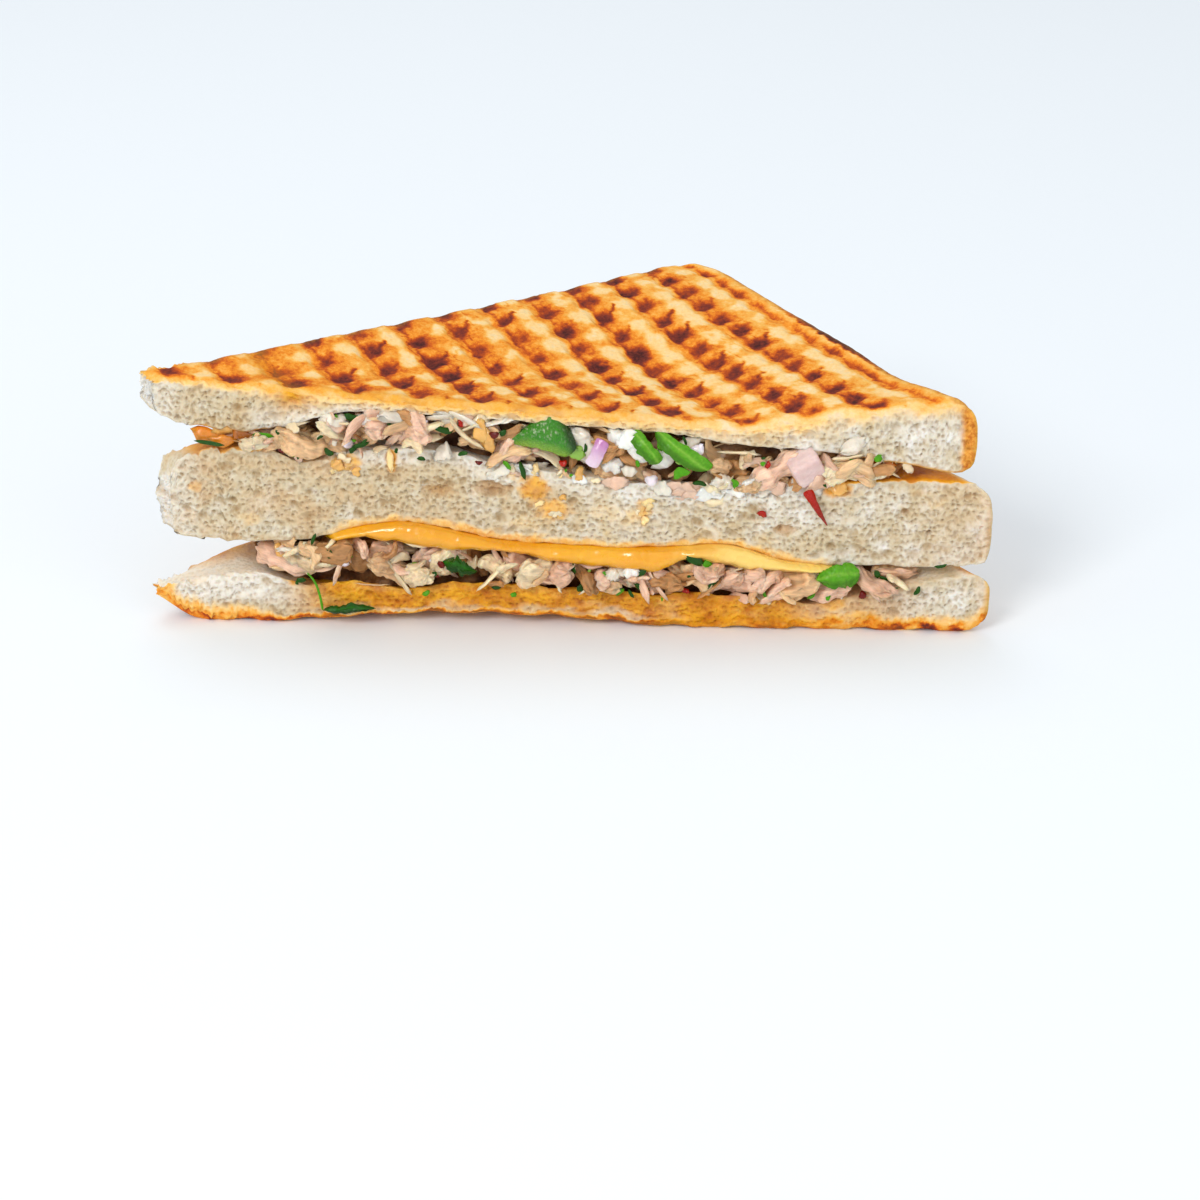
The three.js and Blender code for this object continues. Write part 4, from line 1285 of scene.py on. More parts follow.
# ------------------------------------------------------------------ cheese
@dataclass
class MeltedCheese:
    """A melted sheet under the middle slice that sags into a rounded lip at the cut."""

    sheet: float = 1.9
    reach: float = 5.0

    def crown(self, u: Array, v: Array) -> Array:
        """Upper face, just under the middle slice."""
        ragged = 0.35 * np.abs(waves(PLAN.along_cut(u) / 1.4, 0.0, 96, 3))
        front = 1 - smooth(0, 1.2, self.edge(u) - v)
        return HEIGHT["middle_under"](u, v) - 0.05 - (0.1 + 0.8 * ragged) * front

    def under(self, u: Array, v: Array) -> Array:
        """Lower face: the sheet's thickness inside, easing into the lip's height at the cut."""
        sheet = HEIGHT["middle_under"](u, v) - 0.6 - self.sheet
        along = PLAN.along_cut(u)
        drips = 0.6 * waves(along / 5.5, 0.0, 90, 2) + 0.3 * waves(along / 1.9, 0.0, 95, 2)
        lip = np.minimum(sheet + 0.6, lip_height(along) + drips - 0.3)
        sagged = mix(sheet, lip, smooth(-self.reach, 0, v - PLAN.cut_at(u)))
        return sagged + 0.5 * (1 - smooth(0, 1.0, self.edge(u) - v))

    def edge(self, u: Array) -> Array:
        """The v of the lip: it hangs out of the cut by an uneven amount."""
        along = PLAN.along_cut(u)
        hang = (1.1 + 0.6 * waves(along / 7, 0.0, 91, 2)) * between(-38, -30, 38, 48, along)
        return PLAN.cut_at(u) + 0.4 + hang

    def wall(self, at: Spots) -> Array:
        """The lip's front is round: it stands out by the sine of the level."""
        bulge = 0.8 + 0.32 * waves(at.along / 4, at.z / 4, 92, 2)
        bulge = bulge + 0.2 * waves(at.along / 1.9, at.z / 1.3, 97, 2)
        return bulge * np.sin(np.pi * np.clip(at.level, 0, 1)) ** 0.8

    def build(self, material: Material) -> None:
        """Makes the cheese and settles it in the place of its node."""
        grid = SlabGrid(
            span=CHEESE_SPAN, columns=301, rows=1 - (1 - np.linspace(0, 1, 41)) ** 1.8, levels=15,
            crown=self.crown, under=self.under, wall=self.wall,
            low=lambda u: np.full_like(u, FILLING_INSET + 2), high=self.edge, radius=INNER_RADIUS,
        )
        shell = grid.build()
        x, z = shell.points[:, 0], shell.points[:, 2]
        share = smooth(0.1, 0.9, 0.5 + 0.5 * waves(x / 6, z / 3, 93, 3))[:, None]
        tint = mix(linear(Tone.CHEESE), linear(Tone.CHEESE_DEEP), 0.4 * share)
        pale = smooth(16, 30, x + 4 * waves(x / 5, z / 2, 94, 3))[:, None]
        tint = mix(tint, linear(Tone.CHEESE_PALE), 0.8 * pale)
        cheese = Shell(shell.points, shell.quads, shell.tris, {"tint": tint})
        cheese.settle("melted_cheese", material, "melted_cheese", "cheese")


# ------------------------------------------------------------------ small pieces of food
def turns(yaw: Array, pitch: Array, roll: Array) -> Array:
    """Rotation matrices, one for each entry: roll about x, then pitch about y, then yaw about z."""
    cy, sy, cp, sp, cr, sr = (f(a) for a in (yaw, pitch, roll) for f in (np.cos, np.sin))
    rows = [
        [cy * cp, cy * sp * sr - sy * cr, cy * sp * cr + sy * sr],
        [sy * cp, sy * sp * sr + cy * cr, sy * sp * cr - cy * sr],
        [-sp, cp * sr, cp * cr],
    ]
    return np.stack([np.stack(row, -1) for row in rows], -2)


def tube_faces(rings: int, sides: int) -> tuple[Array, Array]:
    """Faces of a tube of rings whose two end points follow its ring points."""
    grid = np.arange(rings * sides).reshape(rings, sides)
    on = np.roll(grid, -1, axis=1)
    quads = np.stack([grid[:-1], on[:-1], on[1:], grid[1:]], -1).reshape(-1, 4)
    first, last = rings * sides, rings * sides + 1
    near = np.stack([np.full(sides, first), on[0], grid[0]], -1)
    far = np.stack([np.full(sides, last), grid[-1], on[-1]], -1)
    return quads, np.concatenate([near, far])


@dataclass
class Lumps:
    """Many small bodies of one kind, each a ring-by-ring tube with closed ends."""

    centres: Array  # (n, 3), mm
    sizes: Array  # (n, 3): length, width, thickness
    frames: Array  # (n, 3, 3)
    tints: Array  # (n, 3), linear
    seed: int
    rings: int = 12
    sides: int = 14
    squareness: float = 2.6
    lumpiness: float = 0.2
    creases: float = 0.3
    ragged: float = 0.3
    bend: float = 0.25
    fibrous: float = 0.0
    blunt: float = 4.0  # the power q of the ends
    blush: Tone | None = None  # a second tone that the pieces turn to in places

    END: ClassVar[float] = 0.985  # share of the half length at which the last ring lies

    def build(self) -> Shell:
        """Works out all the bodies at once.

        A body is a bent superellipse tube: its section's radius is
        (|cos|^p + |sin|^p)^(-1/p), swollen by noise, ribbed by fibres that run along it, cut
        by creases and shrunk towards both ends by (1 - |s|^q)^0.5. The ends are ragged by a
        wave that depends on the angle.
        """
        n, rings, sides = len(self.centres), self.rings, self.sides
        s = np.linspace(-self.END, self.END, rings)[None, :, None]
        turn = (np.arange(sides) * 2 * np.pi / sides)[None, None, :]
        who = np.arange(n)[:, None, None].astype(float)
        cos, sin = np.cos(turn), np.sin(turn)
        p = self.squareness
        section = (np.abs(cos) ** p + np.abs(sin) ** p) ** (-1 / p)
        taper = (1 - np.abs(s) ** self.blunt) ** 0.5
        lumpy = waves(1.9 * s + 17 * who, 1.1 * cos + 31 * who, self.seed, 3)
        lumpy = lumpy + waves(2.1 * s + 5 * who, 1.1 * sin + 9 * who, self.seed + 1, 3)
        fibre = waves(2.4 * cos + 0.9 * s + 3 * who, 2.4 * sin + 0.7 * s + 13 * who, self.seed + 2, 2)
        crease = np.clip(1 - 3.2 * np.abs(fibre), 0, 1) ** 1.5
        ribs = waves(3.6 * cos + 0.5 * s + 11 * who, 3.6 * sin + 0.4 * s + 23 * who, self.seed + 4, 2)
        radius = section * taper * (1 + self.lumpiness * lumpy + self.fibrous * ribs - self.creases * crease)
        jag = waves(cos * 2.6 + 7 * who, sin * 2.6 + 3 * who, self.seed + 3, 3)
        ends = self.ragged * np.abs(s) ** 3 * jag
        length, width, thick = (self.sizes[:, k][:, None, None] / 2 for k in range(3))
        local = np.stack([
            length * (s + np.sign(s) * ends) + 0 * turn,
            width * radius * cos + self.bend * width * (s**2 - 0.4) * np.sin(who * 12.9),
            thick * radius * sin + self.bend * thick * (s**2 - 0.4) * np.cos(who * 7.7),
        ], -1)
        caps = local[:, [0, -1]].mean(2)
        caps[..., 0] += np.array([-0.04, 0.04]) * self.sizes[:, :1]
        body = np.concatenate([local.reshape(n, -1, 3), caps], 1)
        points = np.einsum("nij,nkj->nki", self.frames, body) + self.centres[:, None, :]
        count = rings * sides + 2
        start = (np.arange(n) * count)[:, None, None]
        quads, tris = tube_faces(rings, sides)
        tint = np.repeat(self.tints[:, None, :], count, axis=1)
        if self.blush is not None:
            share = smooth(-0.1, 0.8, waves(1.3 * s + 3 * who, 1.3 * cos + 41 * who, self.seed + 5, 3))
            share = np.concatenate([(share + 0 * turn).reshape(n, -1), np.zeros((n, 2))], 1)[..., None]
            tint = mix(tint, linear(self.blush), 0.5 * share)
        # Painted shade and light: the tint darkens in the creases and lightens on the ribs and swellings.
        shade = 1 - 1.2 * self.creases * crease + 0.08 * lumpy + 0.8 * self.fibrous * ribs
        shade = np.concatenate([shade.reshape(n, -1), np.ones((n, 2))], 1)
        return Shell(
            points.reshape(-1, 3),
            (quads[None] + start).reshape(-1, 4),
            (tris[None] + start).reshape(-1, 3),
            {"tint": (tint * shade[..., None]).reshape(-1, 3), "strand": self.strand(body)},
        )

    @staticmethod
    def strand(body: Array) -> Array:
        """A place for each point, in metres, in which a piece is squeezed to a sixth along its length."""
        spread = np.arange(len(body))[:, None, None] * np.array([7.1, 3.7, 5.3])
        return ((body * np.array([0.16, 1.0, 1.0]) + spread) * MM).reshape(-1, 3)


def blend_tones(tones: Sequence[Tone], weights: Sequence[float], rng: Numbers, count: int) -> Array:
    """Picks a tone for each of many pieces and shakes its brightness a little.

    Args:
        tones: The tones to pick from.
        weights: How often each is picked.
        rng: The seeded source of numbers.
        count: How many pieces there are.

    Returns:
        (count, 3) linear colours.
    """
    chances = np.array(weights, float) / np.sum(weights)
    picks = rng.choice(len(tones), size=count, p=chances)
    colours = np.array([linear(tone) for tone in tones])[picks]
    return colours * rng.uniform(0.86, 1.08, (count, 1))


@dataclass
class Filling:
    """One layer of shredded chicken in dressing, with its herbs, seen at the cut."""

    name: str
    node: str
    span: Pair  # of the core, along the long crust
    reach: Pair  # of the pieces, along the cut
    above: Face
    below: Face
    ceiling: Line
    floor: Line
    chunks: int
    shreds: int
    dabs: int
    seed: int
    clear: Sequence[Pair] = ()  # stretches where garnish shows and the pieces keep back

    def core(self) -> Shell:
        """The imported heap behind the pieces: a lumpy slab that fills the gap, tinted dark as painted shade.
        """
        grid = SlabGrid(
            span=self.span, columns=241, rows=crowded_rows(31, 0.5), levels=11,
            crown=lambda u, v: self.above(u, v) + 0.1, under=lambda u, v: self.below(u, v) - 0.1,
            wall=lambda at: -1.0 + 1.1 * waves(at.along / 2.4, at.z / 2.0, self.seed, 3),
            low=lambda u: np.full_like(u, FILLING_INSET), high=lambda u: PLAN.cut_at(u) - CORE_DEPTH,
            radius=INNER_RADIUS, stride=2,
        )
        shell = grid.build()
        x, y, z = shell.points.T
        share = smooth(0.2, 0.8, 0.5 + 0.5 * waves(x / 2.5, z / 2 + y / 3, self.seed + 4, 3))[:, None]
        # Painted shade: the core is tinted dark, its tan dimmed to 0.8, so that the recesses between the
        # pieces read as shadow.
        tint = mix(linear(Tone.GAP_SHADE), linear(Tone.CHICKEN_TAN) * 0.8, 0.6 * share)
        strand = shell.points * np.array([1.0, 0.3, 1.0]) * MM
        return Shell(shell.points, shell.quads, shell.tris, {"tint": tint, "strand": strand})

    def gap(self, along: Array) -> tuple[Array, Array]:
        """Floor and ceiling of the filling at the cut."""
        return self.floor(along), self.ceiling(along)

    def laid(
        self, rng: Numbers, along: Array, sizes: Array, tilt: float, out: Array
    ) -> tuple[Array, Array]:
        """Lays pieces between the breads, so that none sticks far into either.

        Args:
            rng: The seeded source of numbers.
            along: Distance of each piece along the cut.
            sizes: Length, width and thickness of each.
            tilt: Steepest pitch, in radians.
            out: How far each piece's middle stands out of the cut.

        Returns:
            The pieces' middles and their frames.
        """
        count = len(along)
        pitch = rng.uniform(-tilt, tilt, count)
        low, high = self.gap(along)
        steep = np.arcsin(np.clip((high - low + 0.8 - sizes[:, 1]) / sizes[:, 0], 0.05, 0.95))
        pitch = np.clip(pitch, -steep, steep)
        margin = 0.38 * (sizes[:, 0] * np.abs(np.sin(pitch)) + sizes[:, 1])
        room = high - low - 2 * margin
        share = rng.uniform(0, 1, count)
        z = np.where(room > 0, low + margin + share * room, (low + high) / 2)
        for start, end in self.clear:
            out = np.where((along > start) & (along < end), out - KEEP_BACK, out)
        out = np.minimum(out, FURTHEST_OUT - sizes[:, 0] * 0.28 - sizes[:, 1] * 0.3)
        centres = np.stack([along + CUT_X, CUT_Y - out, z], -1)
        frames = turns(rng.uniform(-0.9, 0.9, count), pitch, rng.uniform(-3, 3, count))
        return centres, frames

    def pieces(self, rng: Numbers) -> Shell:
        """Torn chunks of chicken, larger where the gap is higher, some hanging out of it."""
        count = self.chunks
        along = np.linspace(*self.reach, count) + rng.uniform(-2, 2, count)
        low, high = self.gap(along)
        width = np.minimum(rng.uniform(2.2, 6.4, count), np.maximum(high - low, 1.2) * 0.85)
        long, thick = width * rng.uniform(1.2, 2.2, count), width * rng.uniform(0.45, 0.75, count)
        sizes = np.stack([long, width, thick], -1)
        centres, frames = self.laid(rng, along, sizes, 0.9, mix(-3.4, 1.2, rng.uniform(0, 1, count) ** 1.2))
        tones = (Tone.CHICKEN, Tone.CHICKEN_TAN, Tone.CHICKEN_PINK, Tone.CHICKEN_PALE)
        tints = blend_tones(tones, (4, 1.1, 5, 1.4), rng, count)
        return Lumps(
            centres, sizes, frames, tints, self.seed + 11, rings=23, sides=28, squareness=2.8,
            lumpiness=0.3, creases=0.2, ragged=0.45, bend=0.7, fibrous=0.12, blunt=8.0,
            blush=Tone.CHICKEN_TAN,
        ).build()

    def strands(self, rng: Numbers) -> Shell:
        """Fibres and slivers pulled off the chunks, lying at all angles."""
        count = self.shreds
        along = rng.uniform(*self.reach, count)
        low, high = self.gap(along)
        fine = rng.uniform(0, 1, count) < 0.35
        thick = np.where(fine, rng.uniform(0.4, 0.7, count), rng.uniform(0.9, 2.0, count))
        long = np.minimum(rng.uniform(2.8, 7.5, count), 1.6 * np.maximum(high - low, 1.6))
        sizes = np.stack([long, thick * rng.uniform(1, 1.8, count), thick * 0.6], -1)
        centres, frames = self.laid(rng, along, sizes, 1.1, rng.uniform(-1.6, 1.3, count))
        tones = (Tone.CHICKEN, Tone.CHICKEN_PINK, Tone.CHICKEN_PALE, Tone.CHICKEN_TAN)
        tints = blend_tones(tones, (3, 3, 2, 1.2), rng, count)
        return Lumps(
            centres, sizes, frames, tints, self.seed + 17, rings=15, sides=10, creases=0.12, ragged=0.4,
            bend=1.6, fibrous=0.08, blunt=6.0,
        ).build()

    def cream(self, rng: Numbers) -> Shell:
        """Smooth smears of dressing: most along the upper bread, some along the lower, a few between."""
        count = self.dabs
        along = rng.uniform(*self.reach, count)
        width = rng.uniform(1.1, 2.6, count)
        long, thick = width * rng.uniform(1.6, 3.2, count), width * rng.uniform(0.3, 0.5, count)
        sizes = np.stack([long, width, thick], -1)
        centres, frames = self.laid(rng, along, sizes, 0.25, rng.uniform(-1.0, 0.4, count))
        low, high = self.gap(along)
        where = rng.uniform(0, 1, count)
        edge = np.where(where < 0.6, high - 0.15 * width, low + 0.2 * width)
        centres[:, 2] = np.where(where < 0.85, edge, centres[:, 2])
        tints = blend_tones((Tone.DRESSING, Tone.CHICKEN_PALE, Tone.CHICKEN_PINK), (3, 3, 1), rng, count)
        return Lumps(
            centres, sizes, frames, tints, self.seed + 23, rings=15, sides=16, squareness=2.0,
            lumpiness=0.3, creases=0.08, ragged=0.6, bend=0.9,
        ).build()

    def build(self, chicken: Material, dressing: Material) -> None:
        """Makes the heap, its shreds and its dressing."""
        rng = np.random.default_rng(self.seed)
        heap = Shell.joined([self.core(), self.pieces(rng)])
        heap.settle(self.name, chicken, "chicken_salad", self.node)
        self.strands(rng).settle(f"{self.name}_shreds", chicken, "chicken_salad")
        self.cream(rng).settle(f"{self.name}_dressing", dressing, "chicken_salad")


# ------------------------------------------------------------------ garnish
class Outline(Enum):
    """Outlines of a strip of garnish along its length."""

    BLUNT = "blunt"
    LEAF = "leaf"
    SHARD = "shard"
    TAPER = "taper"

    def width_at(self, s: Array) -> Array:
        """Share of the full width at the share s of the length.

        Blunt is (1 - |2s - 1|^18)^0.5, leaf is sin(pi s)^0.7, shard widens from a narrow end
        as sin^2 and taper narrows to a seventh; all are closed at both ends.
        """
        closed = (1 - np.abs(2 * s - 1) ** 18) ** 0.5
        if self is Outline.LEAF:
            return np.maximum(np.sin(np.pi * (0.05 + 0.94 * s)), 0.02) ** 0.7 * closed
        if self is Outline.SHARD:
            widening = 0.45 + 0.75 * np.sin(np.pi * (0.12 + 0.62 * s)) ** 2
            return widening * (1 - np.abs(2 * s - 1) ** 14) ** 0.5
        if self is Outline.TAPER:
            return (1 - 0.86 * s) * closed
        return closed


def spline(points: Sequence[Triple], count: int) -> Array:
    """A smooth curve through the points: the cubic whose slope at each is half its neighbours' chord."""
    known = np.array(points, float)
    padded = np.concatenate([2 * known[:1] - known[1:2], known, 2 * known[-1:] - known[-2:-1]])
    at = np.linspace(0, len(known) - 1, count)
    i = np.minimum(at.astype(int), len(known) - 2)
    f = (at - i)[:, None]
    a, b, c, d = (padded[i + k] for k in range(4))
    return 0.5 * (2 * b + (c - a) * f + (2 * a - 5 * b + 4 * c - d) * f**2 + (3 * b - a - 3 * c + d) * f**3)


@dataclass
class Strip:
    """A thin cupped strip of vegetable along a curve, in the numbers of the plan."""

    name: str
    slot: str
    nodes: Sequence[str]
    path: Sequence[Triple]
    across: Triple
    width: float
    thickness: float
    cup: float
    skin: Tone
    flesh: Tone
    outline: Outline = Outline.BLUNT
    ripple: float = 0.15
    veins_and_side_shade: float = 0.0  # strength of the pale midrib, and of the painted shade that darkens one side of it
    tear: float = 0.07  # unevenness of the outline
    rim: float = 0.0  # how far the lower edge pales towards the flesh
    bleach: float = 0.0  # how far the far end pales towards the flesh
    flecks: float = 0.0  # share of pale flecks painted on the skin as a speckled highlight; the skin's far end is then darkened as painted shade
    seed: int = 0
    rings: int = 61
    sides: int = 40

    NARROWEST: ClassVar[float] = 0.05  # share of the width that is left at the ends

    def shell(self) -> Shell:
        """Carries a flat section along the curve.

        At angle t of the section, k = cos t is the share across, and the half width is torn
        by noise. The lift is sin t |sin t|^-0.4 (1 - 0.35 k^2) half thicknesses, less
        cup k^2 and the midrib's grooves, plus a ripple. One side of the midrib is darkened
        as painted shade.
        """
        s = np.linspace(0, 1, self.rings)
        line = spline(self.path, self.rings) - ORIGIN
        tangent = np.gradient(line, axis=0)
        tangent /= np.linalg.norm(tangent, axis=1, keepdims=True)
        side = np.array(self.across) / np.linalg.norm(self.across)
        face = np.cross(tangent, side)
        face /= np.linalg.norm(face, axis=1, keepdims=True)
        t = np.arange(self.sides) * 2 * np.pi / self.sides
        k, sin = np.cos(t)[None, :], np.sin(t)[None, :]
        edge = self.tear * waves(s[:, None] * 9, np.sign(k), self.seed + 3, 3)
        half = self.outline.width_at(s)[:, None] + edge * (s * (1 - s) * 4)[:, None]
        half = self.width / 2 * np.maximum(half, self.NARROWEST)
        thin = np.minimum(1, half / (self.width / 2) * 2.5)
        skin_lift = np.sign(sin) * np.abs(sin) ** 0.6 * self.thickness / 2 * (1 - 0.35 * k**2) * thin
        wave = self.ripple * waves(s[:, None] * 5, k * 2, self.seed, 3)
        rib = bell(k, 0.1 + 0.2 * np.sin(4 * s[:, None]), 0.13)
        rib = rib + 0.35 * smooth(0.1, 0.7, waves(s[:, None] * 15 + 4 * np.abs(k), k * 3, self.seed + 6, 2))
        lift = skin_lift - self.cup * k**2 + wave - 0.12 * self.veins_and_side_shade * rib * (sin > 0)
        points = line[:, None] + side * (half * k)[..., None] + face[:, None] * lift[..., None]
        caps = points[[0, -1]].mean(1)
        quads, tris = tube_faces(self.rings, self.sides)
        rough = 0.5 + 0.5 * waves(s[:, None] * 7, k * 3 + 5, self.seed + 1, 3)
        outer = smooth(-0.35, 0.1, sin)
        share = np.clip(0.18 * rough + outer * (0.85 - self.veins_and_side_shade * 0.55 * rib), 0, 1)
        share = share * (1 - self.rim * (1 - smooth(-1.0, -0.2, k + 0.2 * rough)))
        share = share * (1 - self.bleach * smooth(0.15, 0.95, s[:, None] + 0.15 * rough))
        tint = mix(linear(self.flesh), linear(self.skin), share[..., None])
        # Painted shade: one side of the midrib is darkened.
        tint = tint * (1 - 0.7 * self.veins_and_side_shade * smooth(0.0, 0.5, -k - 0.3 * rough + 0.15))[..., None]
        if self.flecks:
            # Painted shade: the skin darkens towards its far end.
            tint = tint * (1 - 0.75 * smooth(0.72, 0.95, s[:, None] + 0.2 * k))[..., None]
            # Painted highlight: pale flecks in the dressing's tone speckle the outer skin.
            fleck = smooth(0.15, 0.5, waves(s[:, None] * 34, k * 11, self.seed + 5, 2))
            fleck = self.flecks * fleck * bell(s[:, None], 0.42, 0.3) * bell(k, 0.2, 0.5) * outer
            tint = mix(tint, linear(Tone.DRESSING), fleck[..., None])
        tint = np.concatenate([tint.reshape(-1, 3), tint[[0, -1]].mean(1)])
        return Shell(np.concatenate([points.reshape(-1, 3), caps]), quads, tris, {"tint": tint})

    def build(self, material: Material) -> None:
        """Makes the strip and settles it in the place of its node, if it has one."""
        self.shell().settle(self.name, material, self.slot, *self.nodes)


@dataclass
class ChickenCube:
    """The pale cube of chicken that stands out of the upper filling."""

    centre: Triple = (42.6, 0.4, 31.2)
    size: Triple = (5.6, 5.0, 5.6)
    turn: Triple = (0.2, -0.5, 0.35)  # yaw, pitch, roll
    squareness: float = 7.0

    def build(self, material: Material) -> None:
        """Makes the cube: along each way d its radius is (sum |d|^p)^(-1/p), scored by fibres."""
        rings, sides = 40, 64
        polar = np.linspace(0.03, np.pi - 0.03, rings)[:, None]
        turn = np.linspace(0, 2 * np.pi, sides, endpoint=False)[None, :]
        way = [-np.cos(polar) + 0 * turn, np.sin(polar) * np.cos(turn), np.sin(polar) * np.sin(turn)]
        way = np.stack(way, -1)
        radius = (np.abs(way) ** self.squareness).sum(-1) ** (-1 / self.squareness)
        body = way * radius[..., None]
        fibre = waves(body[..., 1] * 3, body[..., 2] * 3 + body[..., 0], 701, 2)
        crease = np.clip(1 - 4 * np.abs(fibre), 0, 1)
        rough = 0.03 * waves(body[..., 0] * 3 + 7, body[..., 1] * 3 + body[..., 2] * 2, 702, 3)
        body = body * (1 - 0.02 * crease + rough)[..., None] * np.array(self.size) / 2 * 0.96
        body = np.concatenate([body.reshape(-1, 3), body[[0, -1]].mean(1)])
        points = body @ turns(*(np.array(a) for a in self.turn)).T + (np.array(self.centre) - ORIGIN)
        share = np.concatenate([(0.5 + 0.5 * fibre).ravel(), [0.5, 0.5]])[:, None]
        tint = mix(linear(Tone.COOKED), linear(Tone.COOKED_PALE), share)
        quads, tris = tube_faces(rings, sides)
        cube = Shell(points, quads, tris, {"tint": tint})
        cube.settle("pale_chicken_cube", material, "chicken_piece", "chicken_cube")


@dataclass(frozen=True)
class Bit:
    """A small piece placed on the cut: distance along it, height, size and lean."""

    along: float
    z: float
    long: float
    wide: float
    lean: float = 0.0
    out: float = 0.9


@dataclass
class Bits:
    """Small bits of one kind: those placed one by one, and more strewn between two heights."""

    name: str
    slot: str
    tones: tuple[Tone, ...]
    placed: Sequence[Bit]
    seed: int
    strewn: int = 0
    thin: float = 0.35
    zones: Sequence[tuple[Line, Line, float, float]] = ()  # floor, ceiling, start and end along the cut
    long: Pair = (0.6, 1.8)
    out: Pair = (0.2, 1.5)
    lumpiness: float = 0.15
    creases: float = 0.0
    rings: int = 8
    sides: int = 10
    bend: float = 0.6
    tilt: float = 1.5  # steepest lean of the strewn bits

    def build(self, material: Material) -> None:
        """Makes all the bits as one piece."""
        rng = np.random.default_rng(self.seed)
        rows = [astuple(bit) for bit in self.placed]
        for low, high, start, end in self.zones:
            count = self.strewn // len(self.zones)
            along = rng.uniform(start, end, count)
            z = mix(low(along), high(along), rng.uniform(0.05, 0.95, count))
            long = rng.uniform(*self.long, count)
            wide = long * rng.uniform(0.35, 0.9, count)
            lean, out = rng.uniform(-self.tilt, self.tilt, count), rng.uniform(*self.out, count)
            rows.extend(np.stack([along, z, long, wide, lean, out], -1).tolist())
        along, z, long, wide, lean, out = np.array(rows).T
        count = len(along)
        centres = np.stack([along + CUT_X, CUT_Y - out, z], -1)
        sizes = np.stack([long, wide, np.minimum(self.thin, wide)], -1)
        frames = turns(rng.uniform(-0.3, 0.3, count), lean, np.pi / 2 + rng.uniform(-0.6, 0.6, count))
        tints = blend_tones(self.tones, [1] * len(self.tones), rng, count)
        shell = Lumps(
            centres, sizes, frames, tints, self.seed + 1, rings=self.rings, sides=self.sides,
            creases=self.creases, ragged=0.6, bend=self.bend, lumpiness=self.lumpiness, squareness=2.8,
        ).build()
        shell.settle(self.name, material, self.slot)


# ------------------------------------------------------------------ the scene round the sandwich
@dataclass(frozen=True)
class Camera:
    """The photograph's point of view, found by fitting the loaf's outline."""

    elevation: float = 26.0
    azimuth: float = 2.0
    distance: float = 451.0
    target: Triple = (7.6 + CUT_X, CUT_Y, 5.5)
    lens: float = 77.43
    sensor: float = 36.0

    def build(self) -> None:
        """Makes the camera and hands it to the scene."""
        data = bpy.data.cameras.new("camera")
        data.lens, data.sensor_width = self.lens, self.sensor
        data.clip_start, data.clip_end = 0.01, 20.0
        made = bpy.data.objects.new("camera", data)
        bpy.context.scene.collection.objects.link(made)
        a, e = math.radians(self.azimuth), math.radians(self.elevation)
        back = np.array([math.sin(a) * math.cos(e), -math.cos(a) * math.cos(e), math.sin(e)])
        made.location = (np.array(self.target) + back * self.distance) * MM
        made.rotation_euler = (math.pi / 2 - e, 0.0, a)
        bpy.context.scene.camera = made


@dataclass(frozen=True)
class Studio:
    """A plain pale floor under soft lights."""

    floor_size: float = 6.0

    def build(self) -> None:
        """Makes the floor, the lights and the pale surroundings."""
        self.floor()
        self.light("key", (-0.55, -0.95, 0.8), 0.45, 8.0, (1.0, 0.985, 0.96))
        self.light("fill", (0.95, -0.85, 0.45), 0.9, 2.4, (0.98, 0.99, 1.0))
        self.light("top", (-0.2, 0.45, 1.1), 0.7, 2.4, (1.0, 1.0, 1.0))
        world = bpy.data.worlds.new("surroundings")
        world.use_nodes = True
        shade = world.node_tree.nodes["Background"]
        shade.inputs["Color"].default_value = (0.93, 0.965, 1.0, 1.0)
        shade.inputs["Strength"].default_value = 0.68
        bpy.context.scene.world = world
        bpy.context.scene.view_settings.view_transform = "Standard"

    def floor(self) -> None:
        """A matt floor, far larger than what the camera sees."""
        half = self.floor_size / 2
        mesh = bpy.data.meshes.new("floor")
        corners = [(-half, -half, 0), (half, -half, 0), (half, half, 0), (-half, half, 0)]
        mesh.from_pydata(corners, [], [(0, 1, 2, 3)])
        material, graph, shader = new_material("floor")
        graph.feed(shader, {"Base Color": Tone.FLOOR, "Roughness": 0.7})
        mesh.materials.append(material)
        made = bpy.data.objects.new("floor", mesh)
        bpy.context.scene.collection.objects.link(made)

    def light(self, name: str, at: Triple, size: float, power: float,
              colour: Triple) -> None:
        """A square soft light that looks at the sandwich."""
        data = bpy.data.lights.new(name, "AREA")
        data.size, data.energy, data.color = size, power, colour
        made = bpy.data.objects.new(name, data)
        made.location = at
        toward = bpy.context.scene.camera.location * 0 - made.location
        made.rotation_euler = toward.to_track_quat("-Z", "Y").to_euler()
        bpy.context.scene.collection.objects.link(made)


